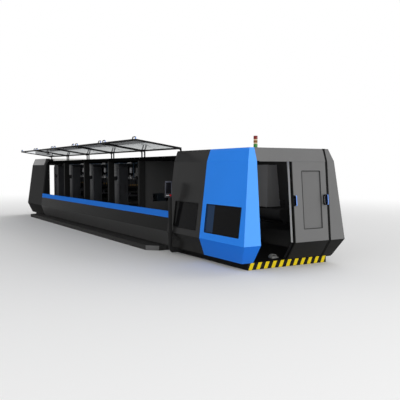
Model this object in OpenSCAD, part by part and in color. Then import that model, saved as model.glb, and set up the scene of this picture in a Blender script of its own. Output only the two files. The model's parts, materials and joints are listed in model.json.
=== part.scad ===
// Enclosed rolling mill line: a faceted head housing with a sliding door, a row of
// rolling stands under lift-up guards, and a tail housing that is open at its end.
// X runs along the line with the head at +X, Y across it, and Z up from the floor.

/* [Enclosure] */
// Overall length at the waist crease
line_len = 16460; // [15800:10:18000]
// Overall width at the waist crease
line_w = 2590; // [2500:10:2800]
// Height of the housing roofs
roof_h = 2400; // [2380:5:2500]
// Depth of the header, from the roof down to the upper crease and the doorway's top
header_h = 260; // [220:5:300]
// Height of the waist crease, where the housing is widest
waist_h = 510; // [460:5:560]
// Height of the plinths under the two housings
plinth_h = 145; // [120:5:180]
// How far the plinth stands back from the waist
plinth_in = 280; // [262:2:320]
// Side wall setback at its lower edge
side_low_in = 125; // [90:5:160]
// Side wall setback at the upper crease
side_kink_in = 195; // [170:5:220]
// Side wall setback at the roof edge
side_roof_in = 285; // [265:5:310]
// End wall setback at its lower edge
end_low_in = 250; // [200:5:255]
// End wall setback at the upper crease
end_kink_in = 145; // [110:5:180]
// End wall setback at the roof edge
end_roof_in = 235; // [200:5:280]
// Thickness of the folded wall panels
wall_t = 40; // [30:1:50]

/* [Head and tail housings] */
// Length of the head housing
head_len = 3150; // [3050:10:3300]
// Length of the coloured corner panels of the head housing
corner_len = 1660; // [1600:10:1700]
// Length of the tail housing
tail_len = 2210; // [2100:10:2300]
// Length of the grey cap folded down from the tail housing's roof
tail_cap_len = 1970; // [1900:10:2050]
// Half the width of the end doorways
door_half_w = 900; // [860:5:930]
// Width of the black jamb strips beside the head doorway
jamb_w = 55; // [40:1:70]
// Thickness of the floor plates in the housings
floor_t = 20; // [15:1:25]
// Height of the lower edge of the side windows
win_low = 655; // [620:5:700]
// Height of the side windows, from edge to edge
win_h = 585; // [520:5:650]
// Distance of the corner panel's window from the nose
corner_win_in = 215; // [190:5:240]
// Width of the corner panel behind its window
corner_win_back = 170; // [130:5:220]
// Width of the side panel in front of its window
win_edge = 190; // [150:5:240]
// Width of the side panel behind its window
win_back = 270; // [200:5:320]

/* [Sliding leaves] */
// Thickness of a sliding leaf
leaf_t = 52; // [46:1:56]
// Running gap between the two leaves
leaf_gap = 8; // [7:1:12]
// Height of the lower edge of the leaf window
leaf_win_low = 770; // [700:10:850]
// Distance of the leaf window's upper edge below the doorway's top
leaf_win_drop = 200; // [160:10:280]
// Width of the leaf window
leaf_win_w = 490; // [440:5:520]

/* [Guard row] */
// Number of guard bays between the two housings
bays = 5; // [5:1:5]
// Drop from the housing roofs to the top of the guard row's beams
beam_drop = 105; // [90:1:120]
// Depth of the top beams, top to bottom
beam_h = 95; // [85:1:110]
// Width of the top beams
beam_w = 300; // [280:5:320]
// Upper edge of the blue rail
rail_top = 985; // [960:1:1000]
// Depth of the blue rail
rail_h = 150; // [130:5:170]
// How far the blue rail stands proud of the skirt
rail_proud = 6; // [4:1:10]
// Width of an upright along the line
upright_w = 100; // [90:2:100]
// Inner face of the uprights, from the centre line
upright_y = 840; // [820:5:860]
// Inner face of the slimmer end uprights, which stand against the housings
upright_end_y = 950; // [930:5:970]

/* [Lift-up guards] */
// Length of a guard measured from its inner edge to its outer edge
guard_depth = 1210; // [1150:5:1210]
// Clear gap between two neighbouring guards
guard_gap = 100; // [94:1:120]
// Thickness of the guard frame
guard_t = 40; // [30:1:42]
// Width of the guard frame bars
guard_bar = 45; // [35:1:60]
// Thickness of the guard glazing
pane_t = 8; // [6:1:12]
// Rise of the open guard, in degrees
guard_rise = 8.5; // [6:0.5:10]
// Height of an open guard's inner edge above the top beam
guard_lift = 157; // [150:1:170]
// Distance of an open guard's inner edge from the centre line
guard_open_y = 880; // [870:1:890]
// Radius of the guard hinge pins
pin_r = 12; // [10:1:14]
// Running clearance round a hinge pin
pin_clear = 0.08; // [0.05:0.01:0.1]
// Thickness of a guard's gooseneck arm
arm_t = 30; // [24:1:34]
// Width of the slots in the top beam that the arms swing through
slot_w = 44; // [42:1:48]

/* [Rolling stands] */
// Centre line of the stands across the line
stand_y = -270; // [-300:5:-240]
// Height of the bed that the stands are bolted to
bed_h = 450; // [420:5:480]
// Height of the pass line
pass_h = 1200; // [1180:5:1220]
// Radius of the work rolls
work_r = 62; // [55:1:70]
// Radius of the backup rolls
backup_r = 150; // [140:1:160]
// Gap between neighbouring roll faces
roll_gap = 1; // [0.5:0.5:2]
// Half of the clear width between the two housings of a stand
barrel_half = 230; // [220:5:250]
// Thickness of one stand housing
housing_t = 290; // [260:5:300]
// Length of a stand housing along the line
housing_len = 620; // [580:10:680]
// Width of the window in a stand housing
window_len = 330; // [324:2:360]
// Height of the top of the stand housings
stand_top = 2130; // [2100:5:2160]
// Radius of the screw-down cylinder
screw_r = 150; // [120:5:170]

/* [Platform and controls] */
// Height of the step along both sides
step_h = 120; // [100:5:130]
// Bare stretch between the head housing and the step
step_gap = 430; // [400:10:600]
// How far the step runs along the tail housing
step_run = 760; // [700:10:1000]
// Distance of the step's outer edge from the centre line
step_y = 1540; // [1500:5:1600]
// Cut across the step's corner near the head, measured along each side
step_cut = 250; // [200:10:300]
// Height of the operator panel's upper edge
panel_top = 1700; // [1640:5:1740]
// Height of the operator panel
panel_h = 370; // [340:5:400]
// Distance of the operator panel's post from the head housing's inner end
pendant_in = 250; // [180:10:300]
// Distance of the post's centre from the waist crease
pendant_out = 52; // [50:2:90]
// Width of the operator panel
panel_w = 166; // [160:2:200]
// Radius of the tower light
tower_r = 40; // [35:1:45]
// Height of the tower light
tower_h = 230; // [200:5:260]

/* [Hidden] */
$fn = 48;

half_w = line_w / 2;
nose_x = line_len / 2;
head_x = nose_x - head_len;
tail_x = -nose_x + tail_len;
pitch = (head_x - tail_x) / bays;
kink_h = roof_h - header_h;
beam_top = roof_h - beam_drop;
win_high = win_low + win_h;
corner_win_len = corner_len - corner_win_in - corner_win_back;
side_win_len = head_len - corner_len - win_edge - win_back;
leaf_win_high = kink_h - leaf_win_drop;
roof_t = wall_t;
seat = 0.3;
eaves_h = roof_h - roof_t;
beam_low = beam_top - beam_h;
big = 4 * line_len;

// Half width of the enclosure at a height, from the creases of its side walls
function side_at(z) = lookup(z, [
    [plinth_h, half_w - side_low_in],
    [waist_h, half_w],
    [kink_h, half_w - side_kink_in],
    [roof_h, half_w - side_roof_in]
]);

// Distance of the nose from the centre of the line at a height
function end_at(z) = lookup(z, [
    [plinth_h, nose_x - end_low_in],
    [waist_h, nose_x],
    [kink_h, nose_x - end_kink_in],
    [roof_h, nose_x - end_roof_in]
]);

// Heights of the creases that lie strictly between two heights, with both ends
function levels(z0, z1) = [
    z0,
    for (z = [waist_h, kink_h]) if (z > z0 && z < z1) z,
    z1
];

// Outline of a folded strip that follows a wall, d0 to d1 inside its outer face
function side_strip(z0, z1, d0, d1) =
    let (up = levels(z0, z1), n = len(up))
    concat(
        [for (z = up) [side_at(z) - d0, z]],
        [for (i = [n - 1 : -1 : 0]) [side_at(up[i]) - d1, up[i]]]
    );
function end_strip(z0, z1, d0, d1) =
    let (up = levels(z0, z1), n = len(up))
    concat(
        [for (z = up) [end_at(z) - d0, z]],
        [for (i = [n - 1 : -1 : 0]) [end_at(up[i]) - d1, up[i]]]
    );

// A YZ outline drawn from x0 to x1
module along_x(x0, x1) {
    translate([x0, 0, 0]) rotate([90, 0, 90]) linear_extrude(x1 - x0) children();
}

// An XZ outline drawn from y0 to y1
module along_y(y0, y1) {
    translate([0, y1, 0]) rotate([90, 0, 0]) linear_extrude(y1 - y0) children();
}

// A box between two corners
module block(a, b) {
    translate(a) cube(b - a);
}

// The same piece on both long sides
module both_sides() {
    children();
    mirror([0, 1, 0]) children();
}

// The solid whose faces are the outside of a housing, inset by d
module housing_solid(d) {
    up = levels(plinth_h, roof_h);
    n = len(up);
    intersection() {
        along_x(-nose_x, nose_x) polygon(concat(
            [for (z = up) [side_at(z) - d, z]],
            [for (i = [n - 1 : -1 : 0]) [d - side_at(up[i]), up[i]]]
        ));
        along_y(-half_w, half_w) polygon(concat(
            [for (z = up) [end_at(z) - d, z]],
            [for (i = [n - 1 : -1 : 0]) [0, up[i]]]
        ));
    }
}

// The folded walls of a housing, open below
module housing_walls() {
    difference() {
        housing_solid(0);
        housing_solid(wall_t);
    }
}

// One wall piece of a housing between two corners of a box
module wall_piece(a, b) {
    intersection() {
        housing_walls();
        block(a, b);
    }
}

// Flat roof with the header that folds down over the doorway between y0 and y1
module housing_roof(len, y0, y1) {
    intersection() {
        housing_solid(0);
        block([nose_x - len, -half_w, eaves_h], [nose_x, half_w, roof_h]);
    }
    wall_piece([nose_x - head_len / 2, y0, kink_h], [nose_x, y1, eaves_h + 1]);
}

// Base block of a housing, with the floor plate that its walls stand on
plate_in = 12;
module housing_plinth(len) {
    y = side_at(plinth_h) - plate_in;
    block(
        [nose_x - len, plinth_in - half_w, 0],
        [nose_x - plinth_in, half_w - plinth_in, plinth_h]
    );
    block([nose_x - len, -y, plinth_h - floor_t], [end_at(plinth_h) - plate_in, y, plinth_h]);
}

module head_plinth() {
    color([0.16, 0.16, 0.16]) housing_plinth(head_len);
}

// Window holes in the long sides, cut straight through along Y
corner_win_x = nose_x - corner_win_in;
side_win_x = nose_x - corner_len - win_edge;
module side_window_cut(x, len) {
    block([x - len, -half_w - 1, win_low], [x, half_w + 1, win_high]);
}

module head_corner(y0, y1) {
    difference() {
        wall_piece([nose_x - corner_len, y0, plinth_h], [nose_x, y1, eaves_h]);
        side_window_cut(corner_win_x, corner_win_len);
    }
}

module head_side(y0, y1) {
    difference() {
        wall_piece([head_x, y0, plinth_h], [nose_x - corner_len, y1, eaves_h]);
        side_window_cut(side_win_x, side_win_len);
    }
}

far_jamb_y = door_half_w + 10;
near_jamb_y = -door_half_w;

module head_corner_near() {
    color([0.18, 0.49, 0.88]) head_corner(-half_w, near_jamb_y);
}

module head_side_near() {
    color([0.2, 0.2, 0.2]) head_side(-half_w, 0);
}

module head_corner_far() {
    color([0.46, 0.46, 0.46]) head_corner(far_jamb_y, half_w);
}

module head_side_far() {
    color([0.2, 0.2, 0.2]) head_side(0, half_w);
}

module head_roof() {
    color([0.46, 0.46, 0.46]) housing_roof(head_len, near_jamb_y, far_jamb_y - jamb_w);
}

// The two leaves run one behind the other; at rest the inner one is slid open
leaf_inset = 6;
leaf_play = 5;
leaf_low = plinth_h + leaf_play;
leaf_high = kink_h - leaf_play;
inner_inset = leaf_inset + leaf_t + leaf_gap;
outer_y0 = -60;
outer_y1 = far_jamb_y - jamb_w - leaf_play;

// Black frame that the leaves close against, as deep as the two leaf tracks
frame_depth = inner_inset + leaf_t + 10;
near_stop = 25;
track_h = 60;
module door_frame() {
    color([0.08, 0.08, 0.08]) {
        along_y(near_jamb_y, near_jamb_y + near_stop)
            polygon(end_strip(plinth_h, kink_h, wall_t, frame_depth));
        along_y(near_jamb_y, far_jamb_y)
            polygon(end_strip(kink_h, kink_h + track_h, wall_t, frame_depth));
        along_y(far_jamb_y - jamb_w, far_jamb_y)
            polygon(end_strip(plinth_h, eaves_h, 4, frame_depth));
    }
}

// Panes set into the side windows
pane_set = 16;
side_pane_t = 10;
module side_pane(x, len) {
    along_x(x - len, x)
        polygon(side_strip(win_low, win_high, pane_set, pane_set + side_pane_t));
}

module head_glass() {
    color([0.1, 0.1, 0.12, 0.6]) both_sides() mirror([0, 1, 0]) {
        side_pane(corner_win_x, corner_win_len);
        side_pane(side_win_x, side_win_len);
    }
}

// Two shoes under a leaf, which carry it on the floor plate
shoe_len = 70;
shoe_seat = 0.3;
module leaf_shoes(d) {
    x = end_at(leaf_low) - d;
    for (y = [outer_y0 + shoe_len, outer_y1 - 2 * shoe_len])
        along_y(y, y + shoe_len) polygon([
            [x + 10 - leaf_t, plinth_h + shoe_seat],
            [x - 10, plinth_h + shoe_seat],
            [x - 10, leaf_low + 12],
            [x + 10 - leaf_t, leaf_low + 12]
        ]);
}

module leaf_panel(d) {
    along_y(outer_y0, outer_y1) polygon(end_strip(leaf_low, leaf_high, d, d + leaf_t));
    leaf_shoes(d);
}

// Loop handle: an eight-cornered ring that reaches from its plate to the near side,
// held off the leaf on two stems and leaning with the wall
loop_w = 115;
loop_h = 215;
loop_bar = 20;
loop_mid = 1345;
loop_off = 38;
stem_r = 7;
module loop_ring(w, h, c) {
    polygon([
        [-w, c - h / 2], [c - w, -h / 2], [-c, -h / 2], [0, c - h / 2],
        [0, h / 2 - c], [-c, h / 2], [c - w, h / 2], [-w, h / 2 - c]
    ]);
}

module loop_handle(y, d) {
    lean = atan((end_at(loop_mid - 1) - end_at(loop_mid + 1)) / 2);
    translate([end_at(loop_mid) - d, y, loop_mid]) rotate([0, -lean, 0]) {
        translate([loop_off, 0, 0]) rotate([90, 0, 90]) linear_extrude(loop_bar) difference() {
            loop_ring(loop_w, loop_h, 28);
            translate([-loop_bar, 0]) loop_ring(loop_w - 2 * loop_bar, loop_h - 2 * loop_bar, 20);
        }
        for (s = [-1, 1]) translate([-6, -loop_bar / 2, s * (loop_h / 2 - 45)])
            rotate([0, 90, 0]) cylinder(r = stem_r, h = loop_off + 6 + loop_bar / 2);
        block([-5, -loop_bar, 25 - loop_h / 2], [8, 18, loop_h / 2 - 25]);
    }
}

// Recessed pull in the face of the inner leaf, flush so that the outer leaf passes it
pull_depth = 24;
module leaf_inner() {
    color([0.62, 0.62, 0.62]) difference() {
        leaf_panel(inner_inset);
        along_y(outer_y0 + 30, outer_y0 + 80) polygon(end_strip(
            loop_mid - loop_h / 2, loop_mid + loop_h / 2, inner_inset - 1, inner_inset + pull_depth
        ));
    }
}

leaf_win_y0 = 205;
leaf_cut_in = 500;
module leaf_outer() {
    color([0.46, 0.46, 0.46]) {
        difference() {
            leaf_panel(leaf_inset);
            block(
                [nose_x - leaf_cut_in, leaf_win_y0, leaf_win_low],
                [nose_x + 1, leaf_win_y0 + leaf_win_w, leaf_win_high]
            );
        }
        loop_handle(outer_y0 + 45, leaf_inset);
        loop_handle(outer_y1 - 25, leaf_inset);
    }
}

module leaf_glass() {
    color([0.1, 0.1, 0.12, 0.6])
        along_y(leaf_win_y0, leaf_win_y0 + leaf_win_w)
            polygon(end_strip(leaf_win_low, leaf_win_high, leaf_inset + 18, leaf_inset + 28));
}

// Wall cabinet and, under it, a rounded trough: both stand out from the far wall
cabinet_low = 1080;
cabinet_h = 1000;
cabinet_in = 2030;
cabinet_back = 150;
cabinet_x = nose_x - cabinet_in;
cabinet_len = head_len - cabinet_in - cabinet_back;
fitting_y = 800;
module head_cabinet() {
    z0 = cabinet_low;
    z1 = cabinet_low + cabinet_h;
    color([0.4, 0.4, 0.42]) along_x(cabinet_x - cabinet_len, cabinet_x) polygon([
        [fitting_y, z0],
        [side_at(z0) - wall_t - seat, z0],
        [side_at(z1) - wall_t - seat, z1],
        [fitting_y, z1]
    ]);
}

trough_top = 1060;
trough_r = 200;
trough_in = 1400;
trough_x = nose_x - trough_in;
trough_len = 750;
module inner_trough() {
    z0 = trough_top - trough_r;
    y = fitting_y + 60;
    color([0.35, 0.35, 0.37]) along_x(trough_x - trough_len, trough_x) {
        intersection() {
            translate([y, trough_top - trough_r / 2]) circle(trough_r);
            translate([y - trough_r, trough_top - 2 * trough_r]) square(2 * trough_r);
        }
        polygon([
            [y, z0],
            [side_at(z0) - wall_t - seat, z0],
            [side_at(trough_top) - wall_t - seat, trough_top],
            [y, trough_top]
        ]);
    }
}

// The tail housing is the head's form turned round
module turned() {
    mirror([1, 0, 0]) children();
}

module tail_plinth() {
    color([0.16, 0.16, 0.16]) turned() housing_plinth(tail_len);
}

module tail_side(y0, y1) {
    turned() difference() {
        wall_piece([nose_x - tail_len, y0, plinth_h], [nose_x, y1, eaves_h]);
        block([nose_x - tail_cap_len, -half_w, kink_h], [nose_x + 1, half_w, roof_h]);
    }
}

module tail_side_near() {
    color([0.18, 0.18, 0.18]) tail_side(-half_w, near_jamb_y);
}

// The far half of the tail's end is closed, and its near half is an open doorway
tail_door_y = -100;
module tail_side_far() {
    color([0.18, 0.18, 0.18]) {
        tail_side(door_half_w, half_w);
        turned() wall_piece(
            [nose_x - tail_len, tail_door_y, plinth_h],
            [nose_x, door_half_w, kink_h]
        );
    }
}

// The tail's roof folds down on its end and both sides
module tail_roof() {
    color([0.46, 0.46, 0.46]) turned() {
        housing_roof(tail_len, near_jamb_y, door_half_w);
        wall_piece([nose_x - tail_cap_len, -half_w, kink_h], [nose_x, half_w, eaves_h + 1]);
    }
}

// Lower skirts, with the same folds as the housings
module skirts() {
    color([0.16, 0.16, 0.16]) both_sides() along_x(tail_x, head_x)
        polygon(side_strip(plinth_h, rail_top - rail_h, 0, wall_t));
}

module rails() {
    color([0.12, 0.41, 0.76]) both_sides() along_x(tail_x, head_x)
        polygon(side_strip(rail_top - rail_h, rail_top, -rail_proud, wall_t));
}

// Closed and open places of a guard's inner edge, and the hinge that joins them
side_lean = atan((side_at(waist_h) - side_at(kink_h)) / (kink_h - waist_h));
guard_swing = 90 + guard_rise - side_lean;
closed_z = beam_low + 10;
guard_flush = 6;
upright_back = guard_t + 24;
function wall_plane(z) = half_w - (z - waist_h) * tan(side_lean);
edge_open = [-guard_open_y, beam_top + guard_lift];
edge_closed = [guard_t + guard_flush - wall_plane(closed_z), closed_z];
edge_step = edge_closed - edge_open;
hinge = (edge_open + edge_closed) / 2
    + [-edge_step[1], edge_step[0]] / (2 * tan(guard_swing / 2));

// Bay boundaries, numbered from the head
function bound_x(i) = head_x - i * pitch;

beam_out = side_at(beam_low) - guard_t - 24;
slot_deep = -hinge[0] - 45;
pin_seat = 18;
arm_in = 25;
arm_mid = guard_gap / 2 + arm_in + arm_t / 2;
bore_half = arm_mid + slot_w / 2 + pin_seat + 4;

module near_beam() {
    difference() {
        block([tail_x, -beam_out, beam_low], [head_x, beam_w - beam_out, beam_top]);
        for (i = [0 : bays], s = [-1, 1])
            translate([bound_x(i) + s * arm_mid, 0, 0])
                block(
                    [-slot_w / 2, -beam_out - 1, beam_low - 1],
                    [slot_w / 2, -slot_deep, beam_top + 1]
                );
        for (i = [0 : bays])
            translate([bound_x(i) - bore_half, hinge[0], hinge[1]]) rotate([0, 90, 0])
                cylinder(r = pin_r + pin_clear, h = 2 * bore_half);
    }
}

module top_beams() {
    color([0.1, 0.1, 0.1]) {
        near_beam();
        block([tail_x, beam_out - beam_w, beam_low], [head_x, beam_out, beam_top]);
    }
}

// Closed panels on the far side: a frame round a thin sheet, in line with the walls
far_gap = 12;
far_frame = 60;
far_sheet_t = 10;
far_top = beam_low;
module far_panel(i) {
    x0 = bound_x(i) + far_gap / 2;
    x1 = bound_x(i - 1) - far_gap / 2;
    difference() {
        along_x(x0, x1) polygon(side_strip(rail_top, far_top, guard_flush, upright_back));
        along_x(x0 + far_frame, x1 - far_frame) polygon(side_strip(
            rail_top + far_frame, far_top - far_frame,
            guard_flush - 1, upright_back - far_sheet_t
        ));
    }
}

module far_panels() {
    color([0.1, 0.1, 0.1]) for (i = [1 : bays]) far_panel(i);
}

// Roof sheet of the guard row, with a tie under it at each bay boundary
tie_w = 120;
sheet_t = 25;
module mid_roof() {
    y = beam_out - beam_w - seat;
    color([0.14, 0.14, 0.14]) {
        block([tail_x, -y, beam_top - sheet_t], [head_x, y, beam_top]);
        for (i = [0 : bays]) {
            x = min(max(bound_x(i), tail_x + tie_w / 2), head_x - tie_w / 2);
            block([x - tie_w / 2, -y, beam_low], [x + tie_w / 2, y, beam_top]);
        }
    }
}

// Uprights carry the skirts, the rails and the top beams. Each is an outline in YZ
// from its inner face y, given by the places of its outer face above the rail.
module upright_outline(y, outer) {
    polygon(concat(
        [
            [y, bed_h],
            [side_at(bed_h) - wall_t, bed_h],
            [side_at(waist_h) - wall_t, waist_h],
            [side_at(rail_top) - wall_t, rail_top]
        ],
        outer,
        [[y, beam_low]]
    ));
}

// The near posts stand plumb under the beam; the far ones lean with the panels
plumb_face = [[beam_out, rail_top], [beam_out, beam_low]];
leaning_face = [
    [side_at(rail_top) - upright_back, rail_top],
    [side_at(kink_h) - upright_back, kink_h],
    [side_at(beam_low) - upright_back, beam_low]
];

// The end ones close the corner against the housing, beside the closed guards
housing_face = [
    [side_at(kink_h) - wall_t, kink_h],
    [side_at(beam_low) - wall_t, beam_low]
];

module upright_pair(x0, x1, y, near, far) {
    along_x(x0, x1) {
        mirror([1, 0]) upright_outline(y, near);
        upright_outline(y, far);
    }
}

end_upright_w = guard_gap / 2 - 6;
module uprights() {
    color([0.15, 0.15, 0.15]) {
        for (i = [1 : bays - 1]) upright_pair(
            bound_x(i) - upright_w / 2, bound_x(i) + upright_w / 2,
            upright_y, plumb_face, leaning_face
        );
        for (x = [tail_x, head_x - end_upright_w]) upright_pair(
            x, x + end_upright_w, upright_end_y, housing_face, leaning_face
        );
    }
}

module bed() {
    y = half_w - plinth_in;
    color([0.13, 0.13, 0.13]) block([tail_x, -y, 0], [head_x, y, bed_h]);
}

// Low steps along both sides; they stop short of the head with a corner cut off
step_head_x = head_x - step_gap;
step_tail_x = tail_x - step_run;
module steps() {
    y = half_w - plinth_in;
    color([0.14, 0.14, 0.14]) both_sides() linear_extrude(step_h) polygon([
        [step_tail_x, y],
        [step_head_x, y],
        [step_head_x, step_y - step_cut],
        [step_head_x - step_cut, step_y],
        [step_tail_x, step_y]
    ]);
}

// Wall across the line behind the first bay, with a slot for the strip
slot_half = 330;
slot_rise = 110;
module partition() {
    x = bound_x(1);
    color([0.2, 0.2, 0.2]) difference() {
        block([x - 20, -upright_y, bed_h], [x + 20, upright_y, beam_low]);
        block(
            [x - 21, stand_y - slot_half, pass_h - slot_rise],
            [x + 21, stand_y + slot_half, pass_h + slot_rise]
        );
    }
}

// Rolling stand: two windowed housings joined by a crosshead and a foot
work_z = work_r + roll_gap / 2;
backup_z = work_z + work_r + roll_gap + backup_r;
chock_reach = 2 * backup_z - 2 * work_z;
window_low = pass_h - chock_reach;
window_high = pass_h + chock_reach + 125;
cross_h = 110;
foot_h = 90;
last_stand_in = 400;
function stand_x(i) = max(bound_x(i + 1), tail_x + last_stand_in);

module stand_housing() {
    difference() {
        along_y(barrel_half, barrel_half + housing_t) polygon([
            [-housing_len / 2 - 60, bed_h],
            [housing_len / 2 + 60, bed_h],
            [housing_len / 2 + 60, bed_h + foot_h],
            [housing_len / 2, bed_h + foot_h + 50],
            [housing_len / 2, stand_top - 90],
            [housing_len / 2 - 90, stand_top],
            [90 - housing_len / 2, stand_top],
            [-housing_len / 2, stand_top - 90],
            [-housing_len / 2, bed_h + foot_h + 50],
            [-housing_len / 2 - 60, bed_h + foot_h]
        ]);
        block(
            [-window_len / 2, barrel_half - 1, window_low],
            [window_len / 2, barrel_half + housing_t + 1, window_high]
        );
    }
}

// Ribbed spray header and the entry guide, both on the head side of a stand
spray_low = pass_h + 300;
spray_h = 160;
rib_t = 24;
module spray_header() {
    x0 = window_len / 2 + 20;
    x1 = x0 + 70;
    block([x0, -barrel_half, spray_low], [x1, barrel_half, spray_low + spray_h]);
    for (y = [-120, 0, 120])
        block([x1, y - rib_t / 2, spray_low + 10], [x1 + 26, y + rib_t / 2, spray_low + spray_h - 10]);
}

guide_t = 36;
module entry_guide() {
    x0 = work_r + 14;
    top = pass_h - 8;
    along_y(-barrel_half, barrel_half) polygon([
        [x0, top - 12],
        [x0 + 40, top - guide_t - 20],
        [housing_len / 2 - 30, top - guide_t - 20],
        [housing_len / 2 + 90, top - guide_t],
        [housing_len / 2 + 90, top - 14],
        [housing_len / 2 + 60, top],
        [x0, top]
    ]);
    for (s = [-1, 1]) block(
        [window_len / 2, s * 175 - 14, top],
        [housing_len / 2 + 50, s * 175 + 14, top + 70]
    );
}

module rolling_stand(i) {
    color([0.24, 0.24, 0.25]) translate([stand_x(i), stand_y, 0]) {
        both_sides() stand_housing();
        block([-160, -barrel_half, stand_top - cross_h], [160, barrel_half, stand_top]);
        block([-200, -barrel_half, bed_h], [200, barrel_half, bed_h + foot_h]);
        spray_header();
        entry_guide();
    }
}

module stand_1() { rolling_stand(1); }
module stand_2() { rolling_stand(2); }
module stand_3() { rolling_stand(3); }
module stand_4() { rolling_stand(4); }

// Roll with its necks and the two chocks that sit in the housing windows
chock_seat = 0.3;
neck_share = 0.55;
module roll(z, r, chock_h) {
    chock_y0 = barrel_half + 40;
    chock_y1 = barrel_half + housing_t - 30;
    translate([0, 0, z]) {
        rotate([90, 0, 0]) cylinder(r = r, h = 2 * barrel_half - 40, center = true);
        rotate([90, 0, 0]) cylinder(r = r * neck_share, h = 2 * chock_y0 + 2, center = true);
        both_sides() block(
            [chock_seat - window_len / 2, chock_y0, -chock_h],
            [window_len / 2 - chock_seat, chock_y1, chock_h]
        );
    }
}

module roll_pack() {
    for (s = [-1, 1]) {
        roll(pass_h + s * work_z, work_r, work_z - chock_seat);
        roll(pass_h + s * backup_z, backup_r, backup_z - 2 * work_z - chock_seat);
    }
}

module rolls() {
    color([0.55, 0.56, 0.58]) for (i = [1 : 4])
        translate([stand_x(i), stand_y, 0]) roll_pack();
}

// Central screw-down cylinder with its tapered nose and pressure plate, and the
// two slimmer balance cylinders that stand on the top chocks
module screwdown() {
    top = stand_top - cross_h;
    plate_z = pass_h + backup_z + backup_r + 58;
    translate([0, 0, plate_z]) rotate_extrude() polygon([
        [0, 0], [170, 0], [170, 45], [44, 45], [44, 100], [64, 108],
        [screw_r, 180], [screw_r, top - plate_z], [0, top - plate_z]
    ]);
    chock_top = pass_h + chock_reach - chock_seat;
    balance_h = window_high - chock_top - 2 * chock_seat;
    for (s = [-1, 1])
        translate([0, s * (barrel_half + housing_t / 2), chock_top + chock_seat])
            rotate_extrude() polygon([
                [0, 0], [84, 0], [84, 22], [44, 22], [44, 52], [62, 58],
                [62, balance_h], [0, balance_h]
            ]);
    translate([0, 0, stand_top]) rotate_extrude() polygon([
        [0, 0], [130, 0], [130, 24], [100, 34], [100, 60], [0, 60]
    ]);
}

module screwdowns() {
    color([0.5, 0.5, 0.52]) for (i = [1 : 4])
        translate([stand_x(i), stand_y, 0]) screwdown();
}

// Gearboxes on the far side, and the spindles to the two work rolls
gear_y0 = 520;
gear_y1 = 820;
gear_ribs = [bed_h, pass_h - 300, pass_h + 220];
spindle_y = barrel_half + housing_t - 30 + chock_seat;
spindle_len = gear_y0 - stand_y - spindle_y;
spindle_r = 30;
coupling_r = work_z - 4;

// Drive spindle with a coupling sleeve at each end
module spindle() {
    rotate_extrude() polygon([
        [0, 0], [coupling_r - 10, 0], [coupling_r, 10], [coupling_r, 70], [spindle_r, 95],
        [spindle_r, spindle_len - 95], [coupling_r, spindle_len - 70],
        [coupling_r, spindle_len + 1], [0, spindle_len + 1]
    ]);
}
module drive_unit() {
    block([-260, gear_y0 - stand_y, bed_h], [260, gear_y1 - stand_y, pass_h + 260]);
    for (s = [-1, 1])
        translate([0, spindle_y, pass_h + s * work_z]) rotate([-90, 0, 0]) spindle();
    for (z = gear_ribs)
        block([-290, gear_y0 - stand_y + 20, z], [290, gear_y1 - stand_y, z + 40]);
}

module drives() {
    color([0.3, 0.32, 0.34]) for (i = [1 : 4])
        translate([stand_x(i), stand_y, 0]) drive_unit();
}

// Lift-up guard number i, counted from the head, drawn in its open place
function guard_x0(i) = bound_x(i) + guard_gap / 2;
function guard_x1(i) = bound_x(i - 1) - guard_gap / 2;

module at_open_edge() {
    translate([0, edge_open[0], edge_open[1]]) rotate([-guard_rise, 0, 0]) children();
}

// Slim plumb arm with its hinge pin, drawn from x0 to x0 + arm_t. It stands under the
// guard's inner bar, and a short foot under that bar holds it.
arm_reach = 90;
arm_y = edge_open[0] + 8;
module guard_arm(x0) {
    rise = tan(guard_rise);
    along_x(x0, x0 + arm_t) {
        translate(hinge) circle(29);
        polygon([
            hinge + [20, 0],
            [arm_y + 15, hinge[1] + 50],
            [arm_y + 15, edge_open[1] + 2],
            [edge_open[0] - 2, edge_open[1] + 12],
            [edge_open[0] - arm_reach, edge_open[1] + 12 + arm_reach * rise],
            [edge_open[0] - arm_reach, edge_open[1] - 12 + arm_reach * rise],
            [arm_y - 25, edge_open[1] - 12],
            [arm_y - 15, edge_open[1] - 30],
            [arm_y - 15, hinge[1]]
        ]);
    }
    translate([x0 - (slot_w - arm_t) / 2 - pin_seat, hinge[0], hinge[1]])
        rotate([0, 90, 0]) cylinder(r = pin_r, h = slot_w + 2 * pin_seat);
}

// Arched grip on the outer bar of a guard, near each of its ends
grip_w = 190;
grip_h = 56;
grip_bar = 18;
grip_root = 6;
module guard_grip(x) {
    c = 30;
    translate([x, grip_bar - guard_depth, guard_t]) rotate([90, 0, 0]) linear_extrude(grip_bar)
        polygon([
            [-grip_w / 2, -grip_root], [-grip_w / 2, grip_h - c], [c - grip_w / 2, grip_h],
            [grip_w / 2 - c, grip_h], [grip_w / 2, grip_h - c], [grip_w / 2, -grip_root],
            [grip_w / 2 - grip_bar, -grip_root], [grip_w / 2 - grip_bar, grip_h - c - 8],
            [grip_w / 2 - c - 8, grip_h - grip_bar], [c + 8 - grip_w / 2, grip_h - grip_bar],
            [grip_bar - grip_w / 2, grip_h - c - 8], [grip_bar - grip_w / 2, -grip_root]
        ]);
}

module guard_frame(i) {
    x0 = guard_x0(i);
    x1 = guard_x1(i);
    color([0.08, 0.08, 0.08]) {
        at_open_edge() {
            difference() {
                block([x0, -guard_depth, 0], [x1, 0, guard_t]);
                block(
                    [x0 + guard_bar, guard_bar - guard_depth, -1],
                    [x1 - guard_bar, -guard_bar, guard_t + 1]
                );
            }
            guard_grip(x0 + grip_w / 2 + 10);
            guard_grip(x1 - grip_w / 2 - 10);
        }
        guard_arm(x0 + arm_in);
        guard_arm(x1 - arm_in - arm_t);
    }
}

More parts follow.
